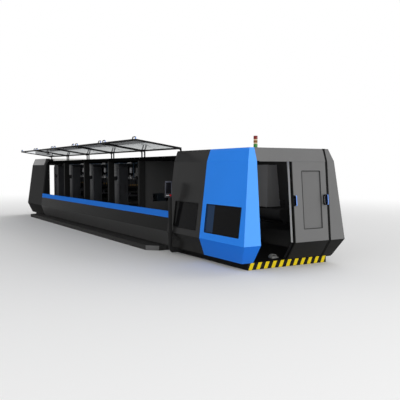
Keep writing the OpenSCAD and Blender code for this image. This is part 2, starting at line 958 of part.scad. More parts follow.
module guard_pane(i) {
    color([0.7, 0.75, 0.8, 0.35]) at_open_edge() block(
        [guard_x0(i) + guard_bar, guard_bar - guard_depth, (guard_t - pane_t) / 2],
        [guard_x1(i) - guard_bar, -guard_bar, (guard_t + pane_t) / 2]
    );
}

module guard_1() { guard_frame(1); }
module guard_2() { guard_frame(2); }
module guard_3() { guard_frame(3); }
module guard_4() { guard_frame(4); }
module guard_5() { guard_frame(5); }
module pane_1() { guard_pane(1); }
module pane_2() { guard_pane(2); }
module pane_3() { guard_pane(3); }
module pane_4() { guard_pane(4); }
module pane_5() { guard_pane(5); }

tower_in = 95;
tower_y = 210 - side_at(roof_h);
module tower_light() {
    color([0.6, 0.6, 0.6]) translate([end_at(roof_h) - tower_in, tower_y, roof_h]) {
        cylinder(r = tower_r + 6, h = 22);
        cylinder(r = tower_r, h = tower_h);
    }
}

// Operator panel on a post beside the head housing. The post's foot is a box section
// that bends in under the side wall and is fixed to the plinth.
pendant_x = head_x + pendant_in;
pendant_y = -(half_w + pendant_out);
post_r = 42;
foot_r = 30;
foot_z0 = 45;
foot_z1 = 120;
module pendant_post() {
    color([0.45, 0.46, 0.48]) {
        along_x(pendant_x - foot_r, pendant_x + foot_r) polygon([
            [pendant_y - foot_r, foot_z1 + 180],
            [pendant_y - foot_r, foot_z1 + 10],
            [pendant_y + 40, foot_z0],
            [plinth_in - half_w, foot_z0],
            [plinth_in - half_w, foot_z1],
            [pendant_y + 90, foot_z1],
            [pendant_y + foot_r, foot_z1 + 65],
            [pendant_y + foot_r, foot_z1 + 180]
        ]);
        translate([pendant_x, pendant_y, foot_z1 + 100])
            cylinder(r = post_r, h = panel_top - panel_h - foot_z1 - 100);
    }
}

panel_t = 60;
panel_side = 25;
module pendant_panel() {
    color([0.55, 0.56, 0.6]) block(
        [pendant_x - panel_t / 2, pendant_y - panel_w + panel_side, panel_top - panel_h],
        [pendant_x + panel_t / 2, pendant_y + panel_side, panel_top]
    );
}

head_plinth();
head_corner_near();
head_side_near();
head_corner_far();
head_side_far();
head_roof();
door_frame();
head_glass();
leaf_inner();
leaf_outer();
leaf_glass();
head_cabinet();
inner_trough();
tail_plinth();
tail_side_near();
tail_side_far();
tail_roof();
skirts();
rails();
top_beams();
mid_roof();
far_panels();
steps();
bed();
uprights();
partition();
stand_1();
stand_2();
stand_3();
stand_4();
rolls();
screwdowns();
drives();
guard_1();
guard_2();
guard_3();
guard_4();
guard_5();
pane_1();
pane_2();
pane_3();
pane_4();
pane_5();
tower_light();
pendant_post();
pendant_panel();
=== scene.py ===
# %% [markdown]
# # An enclosed rolling mill line
# A rolling mill of this kind is a row of roll stands on one long bed. Sheet metal
# closes it in: a faceted housing with a sliding door at the head, a row of lift-up
# glazed guards along the side, and a second housing at the tail. The CAD model
# already has every solid of it in place, so this lesson only dresses those solids
# and adds the small parts that a maker screws on last.
# Loading comes first, because every later piece is placed from the CAD boxes.

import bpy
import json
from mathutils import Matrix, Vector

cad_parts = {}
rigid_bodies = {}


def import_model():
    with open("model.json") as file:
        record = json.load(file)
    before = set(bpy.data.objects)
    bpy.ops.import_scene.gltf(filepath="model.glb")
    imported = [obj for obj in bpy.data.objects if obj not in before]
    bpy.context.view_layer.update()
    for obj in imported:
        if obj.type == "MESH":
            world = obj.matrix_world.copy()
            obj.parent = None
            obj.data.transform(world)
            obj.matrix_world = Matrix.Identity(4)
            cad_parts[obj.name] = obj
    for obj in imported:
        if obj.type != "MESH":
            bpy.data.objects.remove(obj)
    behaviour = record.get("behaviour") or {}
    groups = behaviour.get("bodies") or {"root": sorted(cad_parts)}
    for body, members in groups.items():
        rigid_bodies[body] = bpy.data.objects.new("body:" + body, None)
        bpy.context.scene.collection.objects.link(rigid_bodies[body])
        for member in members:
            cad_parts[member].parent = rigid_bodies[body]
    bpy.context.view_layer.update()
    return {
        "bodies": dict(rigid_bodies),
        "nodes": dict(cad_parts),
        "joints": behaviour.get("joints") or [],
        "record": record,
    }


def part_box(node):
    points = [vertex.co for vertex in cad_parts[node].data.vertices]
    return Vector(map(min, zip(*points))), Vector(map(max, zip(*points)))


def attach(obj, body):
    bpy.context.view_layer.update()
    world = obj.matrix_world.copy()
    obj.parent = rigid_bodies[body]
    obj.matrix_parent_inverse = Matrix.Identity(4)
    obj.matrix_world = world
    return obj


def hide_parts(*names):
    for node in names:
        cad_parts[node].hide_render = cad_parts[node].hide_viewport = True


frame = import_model()
nodes = frame["nodes"]

# %% Blender's own modules
import json
import math
from functools import partialmethod

import bmesh
import bpy
from mathutils import Matrix, Vector

# %% [markdown]
# ## Where the walls are
# The housings are folded sheet: each wall leans out from the floor to a waist crease,
# then back in to an upper crease, and again to the roof. A part that is screwed to a
# wall has to lean with it. A table of height against setback could be looked up at
# each corner, but a small frame of three directions, along, up the slope and
# outwards, lets any part be drawn as if the wall were flat.

# %% Wall planes
# SKIN is one millimetre, the smallest step: up a wall, past a crease or into a sheet.
HALF_W, NOSE_X, SKIN = 1.295, 8.23, 0.001
PLINTH_H, WAIST_H, KINK_H, ROOF_H = 0.145, 0.510, 2.140, 2.400
SIDE_IN = {PLINTH_H: 0.125, WAIST_H: 0.0, KINK_H: 0.195, ROOF_H: 0.285}
END_IN = {PLINTH_H: 0.250, WAIST_H: 0.0, KINK_H: 0.145, ROOF_H: 0.235}


def setback(table, z):
    """Setback of a wall at a height, between the creases of its table."""
    heights = sorted(table)
    for low, high in zip(heights, heights[1:]):
        if z <= high:
            share = (z - low) / (high - low)
            return table[low] + share * (table[high] - table[low])
    return table[heights[-1]]


def side_at(z):
    return HALF_W - setback(SIDE_IN, z)


def end_at(z):
    return NOSE_X - setback(END_IN, z)


def axes(origin, x, y, z):
    """A frame from a point and three directions."""
    turn = Matrix((Vector(x), Vector(y), Vector(z))).transposed().to_4x4()
    return Matrix.Translation(Vector(origin)) @ turn


def wall_frame(kind, z, other=0.0):
    """Axes (along, up the slope, outwards) on the outside of a wall at height z."""
    side = {"near": -1, "end": 0, "far": 1}[kind]

    def spot(height):
        if side:
            return Vector((other, side * side_at(height), height))
        return Vector((end_at(height), other, height))

    along = Vector((-side, 0 if side else 1, 0))
    up = (spot(z + SKIN) - spot(z)).normalized()
    return axes(spot(z), along, up, along.cross(up))


for kind in ("end", "near", "far"):
    print(kind, "wall leans outwards along", tuple(round(v, 3) for v in wall_frame(kind, 1.0).col[2][:3]))

# %% [markdown]
# ## Node trees written as sums
# A shader is easier to read as an expression than as a list of links. One small class
# wraps an output socket, so that `1 - mask` or `tone * 0.2` adds its own Math node.
# Numbers use Math nodes, while colours and directions use Vector Math, because a Math
# node would turn a colour grey. The same class writes the Geometry Nodes trees.

# %% The socket class
class Wire:
    """An output socket that can be added, multiplied and compared."""

    def __init__(self, sheet, socket):
        self.sheet, self.socket = sheet, socket

    def sum(self, how, other, swapped=False):
        pair = (other, self) if swapped else (self, other)
        wide = any(
            isinstance(v, tuple) or (isinstance(v, Wire) and v.socket.type in ("RGBA", "VECTOR"))
            for v in pair
        )
        kind = "ShaderNodeVectorMath" if wide else "ShaderNodeMath"
        feeds = {i: (v,) * 3 if wide and isinstance(v, (int, float)) else v for i, v in enumerate(pair)}
        return self.sheet.node(kind, feeds, operation=how)

    __add__ = partialmethod(sum, "ADD")
    __radd__ = partialmethod(sum, "ADD", swapped=True)
    __sub__ = partialmethod(sum, "SUBTRACT")
    __rsub__ = partialmethod(sum, "SUBTRACT", swapped=True)
    __mul__ = partialmethod(sum, "MULTIPLY")
    __rmul__ = partialmethod(sum, "MULTIPLY", swapped=True)
    __truediv__ = partialmethod(sum, "DIVIDE")
    __lt__ = partialmethod(sum, "LESS_THAN")
    __gt__ = partialmethod(sum, "GREATER_THAN")

    def part(self, axis):
        """One of X, Y and Z of a direction or a place."""
        return self.sheet.node("ShaderNodeSeparateXYZ", {"Vector": self}, axis)

    def size(self):
        """The number without its sign."""
        return self.sheet.node("ShaderNodeMath", {0: self}, operation="ABSOLUTE")

    def between(self, low, high):
        """0 below low, 1 above high, and smooth between them."""
        feeds = {"Value": self, "From Min": low, "From Max": high}
        return self.sheet.node("ShaderNodeMapRange", feeds, interpolation_type="SMOOTHSTEP")


class Sheet:
    """A node tree being written. Its method node adds any node, and the rest call it."""

    def __init__(self, tree):
        self.tree = tree

    def node(self, kind, feeds=None, out=0, **settings):
        """Adds a node, makes its settings, feeds its sockets and returns one output."""
        made = self.tree.nodes.new(kind)
        for key, value in settings.items():
            setattr(made, key, value)
        for key, value in (feeds or {}).items():
            if isinstance(value, Wire):
                self.tree.links.new(value.socket, made.inputs[key])
            else:
                made.inputs[key].default_value = value
        return Wire(self, made.outputs[out]) if made.outputs else made

    def noise(self, place, scale, detail=2.0, rough=0.5):
        feeds = {"Vector": place, "Scale": scale, "Detail": detail, "Roughness": rough}
        return self.node("ShaderNodeTexNoise", feeds, "Fac")

    def blend(self, share, first, second):
        """Goes from the first colour to the second as share goes from 0 to 1."""
        return self.node("ShaderNodeMix", {0: share, 6: first, 7: second}, 2, data_type="RGBA")

    def layers(self, place, colour, areas):
        """A colour with others over it. areas lists (test, colour) pairs: a test takes
        the place and gives 1 where its colour covers the one before it."""
        for test, other in areas:
            colour = self.blend(test(place), colour, other)
        return colour

    def bump(self, height, depth):
        return self.node("ShaderNodeBump", {"Height": height, "Distance": depth, "Strength": 1.0})

    def vector(self, **parts):
        return self.node("ShaderNodeCombineXYZ", parts)

    def either(self, share, first, second):
        """Goes from the first shader to the second as share goes from 0 to 1."""
        return self.node("ShaderNodeMixShader", {0: share, 1: first, 2: second})

    def show(self, shader):
        self.node("ShaderNodeOutputMaterial", {"Surface": shader})

    def principled(self, feeds):
        self.show(self.node("ShaderNodeBsdfPrincipled", feeds))


finishes = {}


def new_finish(name):
    """The sheet of an empty material and the Object coordinates on it. The table keeps
    the material, because the frame's plain materials have some of the same names."""
    material = finishes[name] = bpy.data.materials.new(name)
    material.use_nodes = True
    material.node_tree.nodes.clear()
    sheet = Sheet(material.node_tree)
    return sheet, sheet.node("ShaderNodeTexCoord", {}, "Object")


def ink(*levels):
    """A screen colour, 0 to 255, as the linear colour that a shader takes. One level
    alone is a grey."""
    shares = [v / 255 for v in (levels * 3)[:3]]
    return tuple(v / 12.92 if v <= 0.04045 else ((v + 0.055) / 1.055) ** 2.4 for v in shares) + (1.0,)


def scaled(colour, factor):
    return tuple(v * factor for v in colour[:3]) + (1.0,)


print("mid grey 128 is", round(ink(128)[0], 3), "in linear light")

# %% [markdown]
# ## Powder coat
# All the sheet metal is powder coated. Seen close, the coat has a fine orange peel;
# from further off, one panel is never quite one tone, and dust settles on its lowest
# part. A single flat colour would miss all three, so one recipe makes every coat from
# a colour, a gloss and those three effects. The housings are two-tone: below the waist
# crease the grey pieces turn nearly black, which a test on height paints exactly.

# %% The powder coat recipe
PEEL_PER_M, PEEL_DEEP, DRIFT = 260.0, 0.00006, 0.07


def powder_coat(name, colour, rough, shine, dust, areas):
    """A sprayed and baked coat, with other colours on some areas."""
    sheet, place = new_finish(name)
    base = sheet.layers(place, colour, areas)
    tone = 1 - DRIFT + sheet.noise(place, 0.8, 3.0) * (2 * DRIFT)
    base = sheet.node("ShaderNodeVectorMath", {
        0: base if areas else base[:3], "Scale": tone}, operation="SCALE")
    cloud = sheet.noise(place * (1.0, 1.0, 0.35), 6.0, 4.0, 0.6)
    settled = (1 - place.part("Z").between(0.0, 0.6)) * cloud * dust
    base = sheet.blend(settled, base, ink(140, 136, 128))
    smear = sheet.noise(place * (0.6, 0.6, 2.2), 2.6, 5.0, 0.65)
    sheet.principled({
        "Base Color": base, "Roughness": rough - 0.05 + smear * 0.10 + settled * 0.5,
        "Specular IOR Level": shine,
        "Normal": sheet.bump(sheet.noise(place, PEEL_PER_M, 1.0), PEEL_DEEP),
    })


# %% Where one colour gives way to another
LOW_SLOPE = (END_IN[KINK_H] - END_IN[WAIST_H]) / (KINK_H - WAIST_H)
TOP_SLOPE = (END_IN[ROOF_H] - END_IN[KINK_H]) / (ROOF_H - KINK_H)
CORNER_LEN, TAIL_CAP_LEN, BAY_ROOF_H = 1.660, 1.970, 2.295
NEAR_FOLD, SIDE_FOLD, TAIL_FOLD = 0.8995, 0.9095, 0.95


def below_waist(place):
    return place.part("Z") < WAIST_H + SKIN


def outside_leaf(place):
    """The pull handles: all that stands out in front of the leaf's upper face."""
    return place.part("X") + place.part("Z") * LOW_SLOPE > NOSE_X + WAIST_H * LOW_SLOPE + SKIN


def painted_lit_end(place):
    """The end wall above its waist crease, on either of its two upper faces, where a lighter blue paints
    the light that the end catches.
    """
    x, z = place.part("X"), place.part("Z")
    low_face = x + (z - WAIST_H) * LOW_SLOPE > NOSE_X - 0.004
    top_face = x + (z - KINK_H) * TOP_SLOPE > NOSE_X - END_IN[KINK_H] - 0.004
    return (low_face + top_face) * (z > WAIST_H) > 0.5


def behind_corner(place):
    return place.part("X") < NOSE_X - CORNER_LEN


def near_edge(place):
    """The roof's folded edge over the blue corner."""
    return (place.part("Y") < -NEAR_FOLD) * (1 - behind_corner(place))


# The roof edge's face on the end, where the lighter end blue is painted light.
def near_edge_painted_lit_end(place):
    return near_edge(place) * painted_lit_end(place)


def either_edge_behind(place):
    return (place.part("Y").size() > SIDE_FOLD) * behind_corner(place)


def tail_edge(place):
    """The tail's roof edge over its side panels, past the end of its folded cap."""
    return (place.part("Y").size() > TAIL_FOLD) * (place.part("X") > TAIL_CAP_LEN - NOSE_X)


def guard_row_top(place):
    return place.part("Z") > BAY_ROOF_H - 0.0005


# %% The coats
# The end blue is a lighter copy of the blue: painted light on the end face.
BLUE, END_BLUE_PAINTED_LIGHT, LOW_BLUE_PAINTED_SHADE = ink(48, 136, 242), ink(88, 162, 252), ink(38, 118, 222)
CHARCOAL, GREY = ink(42), ink(113)
for name, tone, rough, shine, dust, *areas in (
    # The low blue is a darker copy of the blue: painted shade on the corner's downward facets below the
    # waist.
    ("corner_blue", BLUE, 0.42, 0.01, 0.06, (painted_lit_end, END_BLUE_PAINTED_LIGHT), (below_waist, LOW_BLUE_PAINTED_SHADE)),
    ("side_charcoal", CHARCOAL, 0.24, 0.045, 0.06, (below_waist, ink(27))),
    # Below the waist the skirt is painted lighter: a painted reflection of the bright floor on its downward
    # facets.
    ("skirt_charcoal", ink(30), 0.34, 0.015, 0.04, (below_waist, ink(62))),
    ("step_charcoal", ink(52), 0.50, 0.01, 0.04),
    ("far_charcoal", ink(66), 0.42, 0.0, 0.02),
    ("tail_charcoal", ink(58), 0.42, 0.0, 0.06, (below_waist, ink(42))),
    ("door_grey", GREY, 0.42, 0.04, 0.06, (below_waist, ink(33)), (outside_leaf, ink(12))),
    # the roof edge's end face takes the lighter end blue: painted light
    ("roof_grey", GREY, 0.42, 0.04, 0.0,
     (near_edge, BLUE), (near_edge_painted_lit_end, END_BLUE_PAINTED_LIGHT), (either_edge_behind, CHARCOAL)),
    ("tail_grey", ink(160), 0.42, 0.0, 0.0, (tail_edge, CHARCOAL)),
    # The inner leaf's pale tone is painted light on its edge, which stands in the doorway's shade; the dark
    # band below the waist is two-tone paint.
    ("pale_grey", ink(222, 222, 220), 0.42, 0.08, 0.06, (below_waist, ink(44))),
    ("inside_grey", ink(112), 0.42, 0.0, 0.06),
    ("trough_grey", ink(44), 0.42, 0.0, 0.06),
    ("base_black", ink(18, 18, 19), 0.50, 0.01, 0.04),
    ("frame_black", ink(34), 0.42, 0.01, 0.0),
    ("beam_black", ink(10), 0.42, 0.0, 0.0, (guard_row_top, ink(226, 226, 224))),
    ("inner_black", ink(38), 0.50, 0.0, 0.06),
    ("post_grey", ink(42), 0.42, 0.02, 0.0),
    ("rail_blue", ink(44, 114, 210), 0.42, 0.0, 0.0),
    ("pipe_blue", ink(52, 72, 92), 0.42, 0.2, 0.0),
    ("plate_grey", ink(104), 0.42, 0.05, 0.0),
    ("cap_pale", ink(206, 206, 204), 0.42, 0.08, 0.0),
):
    powder_coat(name, tone, rough, shine, dust, areas)
print("finishes so far:", len(finishes))

# %% [markdown]
# ## Cast housings, ground rolls and rubber
# The stands are castings under thick machine enamel: their skin is pitted and takes oil
# stains. The rolls are ground steel, and grinding leaves fine rings round the axis, so
# the noise for their gloss is stretched: long round the roll, short along it. Rubber
# seals are matt with a faint bloom. Each is one node recipe with its own pattern.

# %% Enamel, steel and rubber
def machine_enamel(name, colour):
    sheet, place = new_finish(name)
    skin = sheet.noise(place, 55.0, 6.0, 0.6)
    stain = sheet.noise(place * (1.0, 1.0, 0.3), 5.0, 5.0, 0.7).between(0.48, 0.72)
    base = sheet.blend(stain * 0.55, colour, ink(22, 20, 17))
    chips = sheet.noise(place, 26.0, 8.0, 0.75).between(0.70, 0.73)
    sheet.principled({
        "Base Color": sheet.blend(chips, base, ink(96, 88, 80)),
        "Roughness": 0.34 + skin * 0.2 - stain * 0.14,
        "Specular IOR Level": 0.3, "Normal": sheet.bump(skin, 0.0006),
    })


def ground_steel(name, colour, rough, grain, cast=None):
    """Machined steel. grain stretches the pattern: a small share runs along the marks.
    cast is a test that gives 1 where the piece is a dark raw casting instead."""
    sheet, place = new_finish(name)
    marks = sheet.noise(place * grain, 1.0, 3.0, 0.7)
    film = sheet.noise(place, 9.0, 4.0, 0.6)
    base = sheet.blend(film * 0.45, colour, ink(88, 84, 76))
    metal, gloss = 1.0, rough + marks * 0.14
    if cast:
        raw = cast(place)
        base = sheet.blend(raw, base, ink(48, 49, 52))
        metal, gloss = 1 - raw, gloss + raw * 0.25
    sheet.principled({
        "Base Color": base, "Metallic": metal, "Roughness": gloss,
        "Normal": sheet.bump(marks, 0.00004),
    })


def soft_rubber(name, colour):
    sheet, place = new_finish(name)
    bloom = sheet.noise(place, 14.0, 4.0, 0.7)
    sheet.principled({
        "Base Color": sheet.blend(bloom * 0.2, colour, ink(44, 44, 42)),
        "Roughness": 0.62 + bloom * 0.2, "Normal": sheet.bump(sheet.noise(place, 420.0), 0.00008),
        "Specular IOR Level": 0.08,
    })


STAND_Y, BARREL = -0.270, 0.230


def chocks(place):
    """The bearing blocks at the roll ends, beyond the barrels."""
    return (place.part("Y") - STAND_Y).size() > BARREL + 0.035


machine_enamel("stand_enamel", ink(54, 55, 58))
machine_enamel("gear_enamel", ink(58, 66, 72))
ground_steel("roll_steel", ink(150, 150, 152), 0.26, (30.0, 600.0, 30.0), chocks)
ground_steel("screw_steel", ink(176, 177, 180), 0.3, (40.0, 40.0, 420.0))
ground_steel("bolt_steel", ink(120, 120, 122), 0.36, (300.0, 300.0, 300.0))
ground_steel("brass", ink(176, 140, 78), 0.3, (200.0, 200.0, 200.0))
soft_rubber("seal_rubber", ink(14))
soft_rubber("bead_rubber", ink(58))
print("finishes so far:", len(finishes))

# %% [markdown]
# ## Glazing and moulded plastic
# The guards hold thin clear sheet: seen nearly edge on, it turns into a mirror, so it
# is a mix of see-through and glossy, by Fresnel. The side windows are smoked nearly
# black, and the leaf's window is a grey sheet that almost matches the paint round it.
# The panel's screen is made like them. Glass could be given real refraction, but for a
# flat sheet the two-shader mix looks the same and renders faster. Buttons, lenses and
# covers are moulded plastic, which differs only in colour and gloss, so one recipe does.

# %% Glazing
SIDE_WINDOWS = [(NOSE_X - 0.215, 1.275), (NOSE_X - CORNER_LEN - 0.190, 1.030)]
REFLECTION_STRIP_LEN = 0.300


def clear_sheet(name, tint):
    sheet, place = new_finish(name)
    wipe = sheet.noise(place, 3.0, 4.0, 0.7)
    through = sheet.node("ShaderNodeBsdfTransparent", {"Color": tint})
    gloss = sheet.node("ShaderNodeBsdfGlossy", {
        "Color": (0.9, 0.92, 0.94, 1.0), "Roughness": 0.02 + wipe * 0.03})
    edge = sheet.node("ShaderNodeFresnel", {"IOR": 1.5})
    both_faces = edge * 2 / (1 + edge)
    front = 1 - sheet.node("ShaderNodeNewGeometry", {}, "Backfacing")
    sheet.show(sheet.either(both_faces * front, through, gloss))


def painted_reflection_strip(place):
    """The rear end of the near corner window, where a blue-grey tone is a painted reflection."""
    x1, length = SIDE_WINDOWS[0]
    x = place.part("X") - (x1 - length)
    return (x > 0) * (x < REFLECTION_STRIP_LEN) * (place.part("Y") < 0)


def smoked_sheet(name, colour, rough, alpha, shine, areas=()):
    sheet, place = new_finish(name)
    wipe = sheet.noise(place * (1.0, 1.0, 0.5), 4.0, 5.0, 0.7)
    sheet.principled({
        "Base Color": sheet.blend(wipe * 0.2, sheet.layers(place, colour, areas), scaled(colour, 1.5)),
        "Roughness": rough + wipe * 0.05, "Alpha": alpha, "Specular IOR Level": shine,
    })


clear_sheet("guard_glass", (0.66, 0.67, 0.68, 1.0))
# The blue-grey strip at the window's rear end is a painted reflection on the smoked glass.
smoked_sheet("window_smoke", ink(17, 17, 18), 0.06, 0.94, 0.02, [(painted_reflection_strip, ink(40, 62, 92))])
smoked_sheet("leaf_smoke", ink(106), 0.3, 1.0, 0.1)
smoked_sheet("screen_black", ink(24, 24, 28), 0.2, 1.0, 0.1)

# %% Moulded plastic
def plain_gloss(name, colour, rough):
    """Moulded plastic with a faint grain."""
    sheet, place = new_finish(name)
    wear = sheet.noise(place, 25.0, 4.0, 0.7)
    sheet.principled({
        "Base Color": sheet.blend(wear * 0.25, colour, scaled(colour, 0.8)),
        "Roughness": rough + wear * 0.12, "Specular IOR Level": 0.25,
        "Normal": sheet.bump(sheet.noise(place, 700.0, 2.0), 0.00005),
    })


for name, tone, rough in (
    ("handle_blue", ink(112, 156, 240), 0.3), ("switch_grey", ink(132, 132, 130), 0.4),
    ("bezel_grey", ink(84, 86, 96), 0.4), ("button_white", ink(205), 0.35),
    ("stop_red", ink(186, 26, 36), 0.3), ("lens_green", ink(40, 128, 44), 0.15),
    ("lens_amber", ink(128, 78, 24), 0.15), ("lens_red", ink(122, 24, 24), 0.15),
    ("ring_pale", ink(214, 196, 158), 0.35),
):
    plain_gloss(name, tone, rough)
print("finishes so far:", len(finishes))

# %% [markdown]
# ## Finishes for the CAD nodes
# Each CAD node keeps its shape and only gets a better finish. One table gives every
# finish its nodes, and a node that it doesn't name would stop the script, so none
# stays plain.

# %% Dress the CAD nodes
WEARERS = {
    "base_black": "head_plinth tail_plinth", "corner_blue": "head_corner_near",
    "side_charcoal": "head_side_near head_side_far", "door_grey": "head_corner_far leaf_outer",
    "roof_grey": "head_roof", "seal_rubber": "door_frame", "window_smoke": "head_glass",
    "pale_grey": "leaf_inner", "leaf_smoke": "leaf_glass", "inside_grey": "head_cabinet",
    "trough_grey": "inner_trough", "tail_charcoal": "tail_side_near tail_side_far",
    "tail_grey": "tail_roof", "skirt_charcoal": "skirts", "rail_blue": "rails",
    "beam_black": "top_beams mid_roof", "far_charcoal": "far_panels partition",
    "step_charcoal": "steps", "inner_black": "bed", "post_grey": "pendant_post",
    "frame_black": "uprights pendant_panel tower_light guard_1 guard_2 guard_3 guard_4 guard_5",
    "guard_glass": "pane_1 pane_2 pane_3 pane_4 pane_5", "roll_steel": "rolls",
    "stand_enamel": "stand_1 stand_2 stand_3 stand_4", "screw_steel": "screwdowns",
    "gear_enamel": "drives",
}
finish_of = {node: finish for finish, names in WEARERS.items() for node in names.split()}
for name, node in nodes.items():
    finish = finishes[finish_of[name]]
    if not node.material_slots:
        node.data.materials.append(finish)
    for material_slot in node.material_slots:
        material_slot.material = finish
print("dressed", len(nodes), "nodes; named but not there:", sorted(set(finish_of) - set(nodes)))

# %% [markdown]
# ## Drawing small parts
# Small machined parts are boxes with broken edges and turned shapes. A helper class
# gathers them into one mesh, so that a piece of many solids stays one object at the
# origin. Each box is bevelled, because a real edge always catches some light.

# %% A helper for small parts
def add_object(name, data):
    made = bpy.data.objects.new(name, data)
    bpy.context.scene.collection.objects.link(made)
    return made


class Part:
    """Gathers bevelled boxes, turned shapes and prisms into one mesh piece."""

    def __init__(self, name):
        self.name, self.bm = name, bmesh.new()

    def box(self, low, high, bevel=0.002, frame=None, steps=2):
        low, high = Vector(low), Vector(high)
        size = high - low
        place = Matrix.Translation((low + high) / 2) @ Matrix.Diagonal((*size, 1.0))
        made = bmesh.ops.create_cube(self.bm, size=1.0, matrix=place)["verts"]
        edges = list(dict.fromkeys(e for v in made for e in v.link_edges))
        bevel = min(bevel, min(size) * 0.45)
        done = bmesh.ops.bevel(self.bm, geom=edges, offset=bevel, segments=steps, profile=0.5,
                               affect="EDGES", clamp_overlap=True)
        self.put(dict.fromkeys(v for v in (*done["verts"], *made) if v.is_valid), frame)

    def turned(self, profile, frame, steps=28):
        """A profile of (radius, height) pairs spun round the frame's Z axis, ends closed."""
        turns = [2 * math.pi * i / steps for i in range(steps)]
        rings = [
            [self.bm.verts.new((radius * math.cos(a), radius * math.sin(a), height))
             for a in (turns if radius else turns[:1])]
            for radius, height in profile
        ]
        for low, high in zip(rings, rings[1:]):
            self.wall(low, high)
        self.put([v for ring in rings for v in ring], frame)

    def prism(self, outline, deep, frame):
        """An outline in the frame's X and Y, made deep along its Z."""
        low = [self.bm.verts.new((x, y, 0.0)) for x, y in outline]
        high = [self.bm.verts.new((x, y, deep)) for x, y in outline]
        self.bm.faces.new(reversed(low))
        self.bm.faces.new(high)
        self.wall(low, high)
        self.put(low + high, frame)

    def wall(self, low, high):
        """Faces between two rings of corners, of which one may be a single point."""
        a, b = len(low), len(high)
        for i in range(max(a, b)):
            j = (i + 1) % max(a, b)
            self.bm.faces.new(tuple(dict.fromkeys((low[i % a], low[j % a], high[j % b], high[i % b]))))

    def put(self, verts, frame):
        if frame is not None:
            bmesh.ops.transform(self.bm, matrix=frame, verts=list(verts))

    def sort(self):
        """Lists corners and faces by place, since a bevel's own order varies between runs."""
        for items, place in (
            (self.bm.verts, lambda v: tuple(v.co)), (self.bm.faces, lambda f: tuple(f.calc_center_median()))
        ):
            for number, item in enumerate(sorted(items, key=place)):
                item.index = number
            items.sort()

    def done(self, finish, slot, body="line", smooth=True):
        """Makes the piece, gives it its finish, and lets it ride on its body."""
        bmesh.ops.recalc_face_normals(self.bm, faces=self.bm.faces)
        self.sort()
        mesh = bpy.data.meshes.new(self.name)
        self.bm.to_mesh(mesh)
        self.bm.free()
        if smooth:
            mesh.shade_smooth()
            mesh.set_sharp_from_angle(angle=math.radians(35))
        mesh.materials.append(finishes[finish])
        made = add_object(self.name, mesh)
        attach(made, body)
        print(self.name, "has", len(mesh.polygons), "faces, on", body)
        return made


def one_box(name, low, high, bevel, finish, slot, frame=None, smooth=True):
    """A piece of the line that is a single box."""
    part = Part(name)
    part.box(low, high, bevel, frame)
    part.done(finish, slot, smooth=smooth)


# %% [markdown]
# ## Growing what repeats
# Bolts, hazard stripes, nozzles and tread lozenges repeat, so a Geometry Nodes tree
# makes each of them from a few named sizes. The tree is run once, its result is kept
# as a plain mesh, and the modifier is removed, so that the mesh is exactly what was
# seen. Copying the parts in Python would also work, but the tree keeps the
# sizes as inputs that can be changed by hand later.

# %% Helpers for Geometry Nodes
SOCKETS = {float: "NodeSocketFloat", int: "NodeSocketInt", tuple: "NodeSocketVector"}


def new_tree(name, sizes):
    """A geometry tree with named sizes, each with its first value, and a finish."""
    tree = bpy.data.node_groups.new(name, "GeometryNodeTree")
    face = tree.interface
    face.new_socket("Geometry", in_out="INPUT", socket_type="NodeSocketGeometry")
    for label, value in sizes.items():
        made = face.new_socket(label, in_out="INPUT", socket_type=SOCKETS[type(value)])
        made.default_value = value
    face.new_socket("Finish", in_out="INPUT", socket_type="NodeSocketMaterial")
    face.new_socket("Geometry", in_out="OUTPUT", socket_type="NodeSocketGeometry")
    sheet = Sheet(tree)
    entry = tree.nodes.new("NodeGroupInput")
    return sheet, {s.name: Wire(sheet, s) for s in entry.outputs if s.name}


def close_tree(sheet, shape, given):
    """Every tree ends the same way: real geometry, then its material."""
    real = sheet.node("GeometryNodeRealizeInstances", {"Geometry": shape})
    last = sheet.node("GeometryNodeSetMaterial", {"Geometry": real, "Material": given["Finish"]})
    sheet.node("NodeGroupOutput", {"Geometry": last})
    return sheet.tree


def scatter(sheet, given, shape, turn=None):
    """Sets a shape on each point of the seed mesh."""
    points = sheet.node("GeometryNodeMeshToPoints", {"Mesh": given["Geometry"]})
    feeds = {"Points": points, "Instance": shape}
    if turn is not None:
        feeds["Rotation"] = turn
    return sheet.node("GeometryNodeInstanceOnPoints", feeds)


def drum(sheet, sides, radius, depth):
    feeds = {"Vertices": sides, "Radius": radius, "Depth": depth}
    return sheet.node("GeometryNodeMeshCylinder", feeds, fill_type="NGON")


def moved(sheet, shape, **how):
    return sheet.node("GeometryNodeTransform", {"Geometry": shape, **how})


def joined(sheet, *shapes):
    both = sheet.tree.nodes.new("GeometryNodeJoinGeometry")
    for shape in shapes:
        sheet.tree.links.new(shape.socket, both.inputs[0])
    return Wire(sheet, both.outputs[0])


def tube_tree(name, radius, bend, arc, sides, caps):
    """Sweeps a circle along the seed's edges and rounds their corners."""
    sheet, given = new_tree(name, {"Tube radius": radius, "Bend radius": bend})
    path = sheet.node("GeometryNodeMeshToCurve", {"Mesh": given["Geometry"]})
    path = sheet.node("GeometryNodeFilletCurve", {
        "Curve": path, "Count": arc, "Radius": given["Bend radius"]}, mode="POLY")
    section = sheet.node("GeometryNodeCurvePrimitiveCircle", {
        "Resolution": sides, "Radius": given["Tube radius"]})
    tube = sheet.node("GeometryNodeCurveToMesh", {
        "Curve": path, "Profile Curve": section, "Fill Caps": caps})
    smooth = sheet.node("GeometryNodeSetShadeSmooth", {"Geometry": tube})
    return close_tree(sheet, smooth, given)


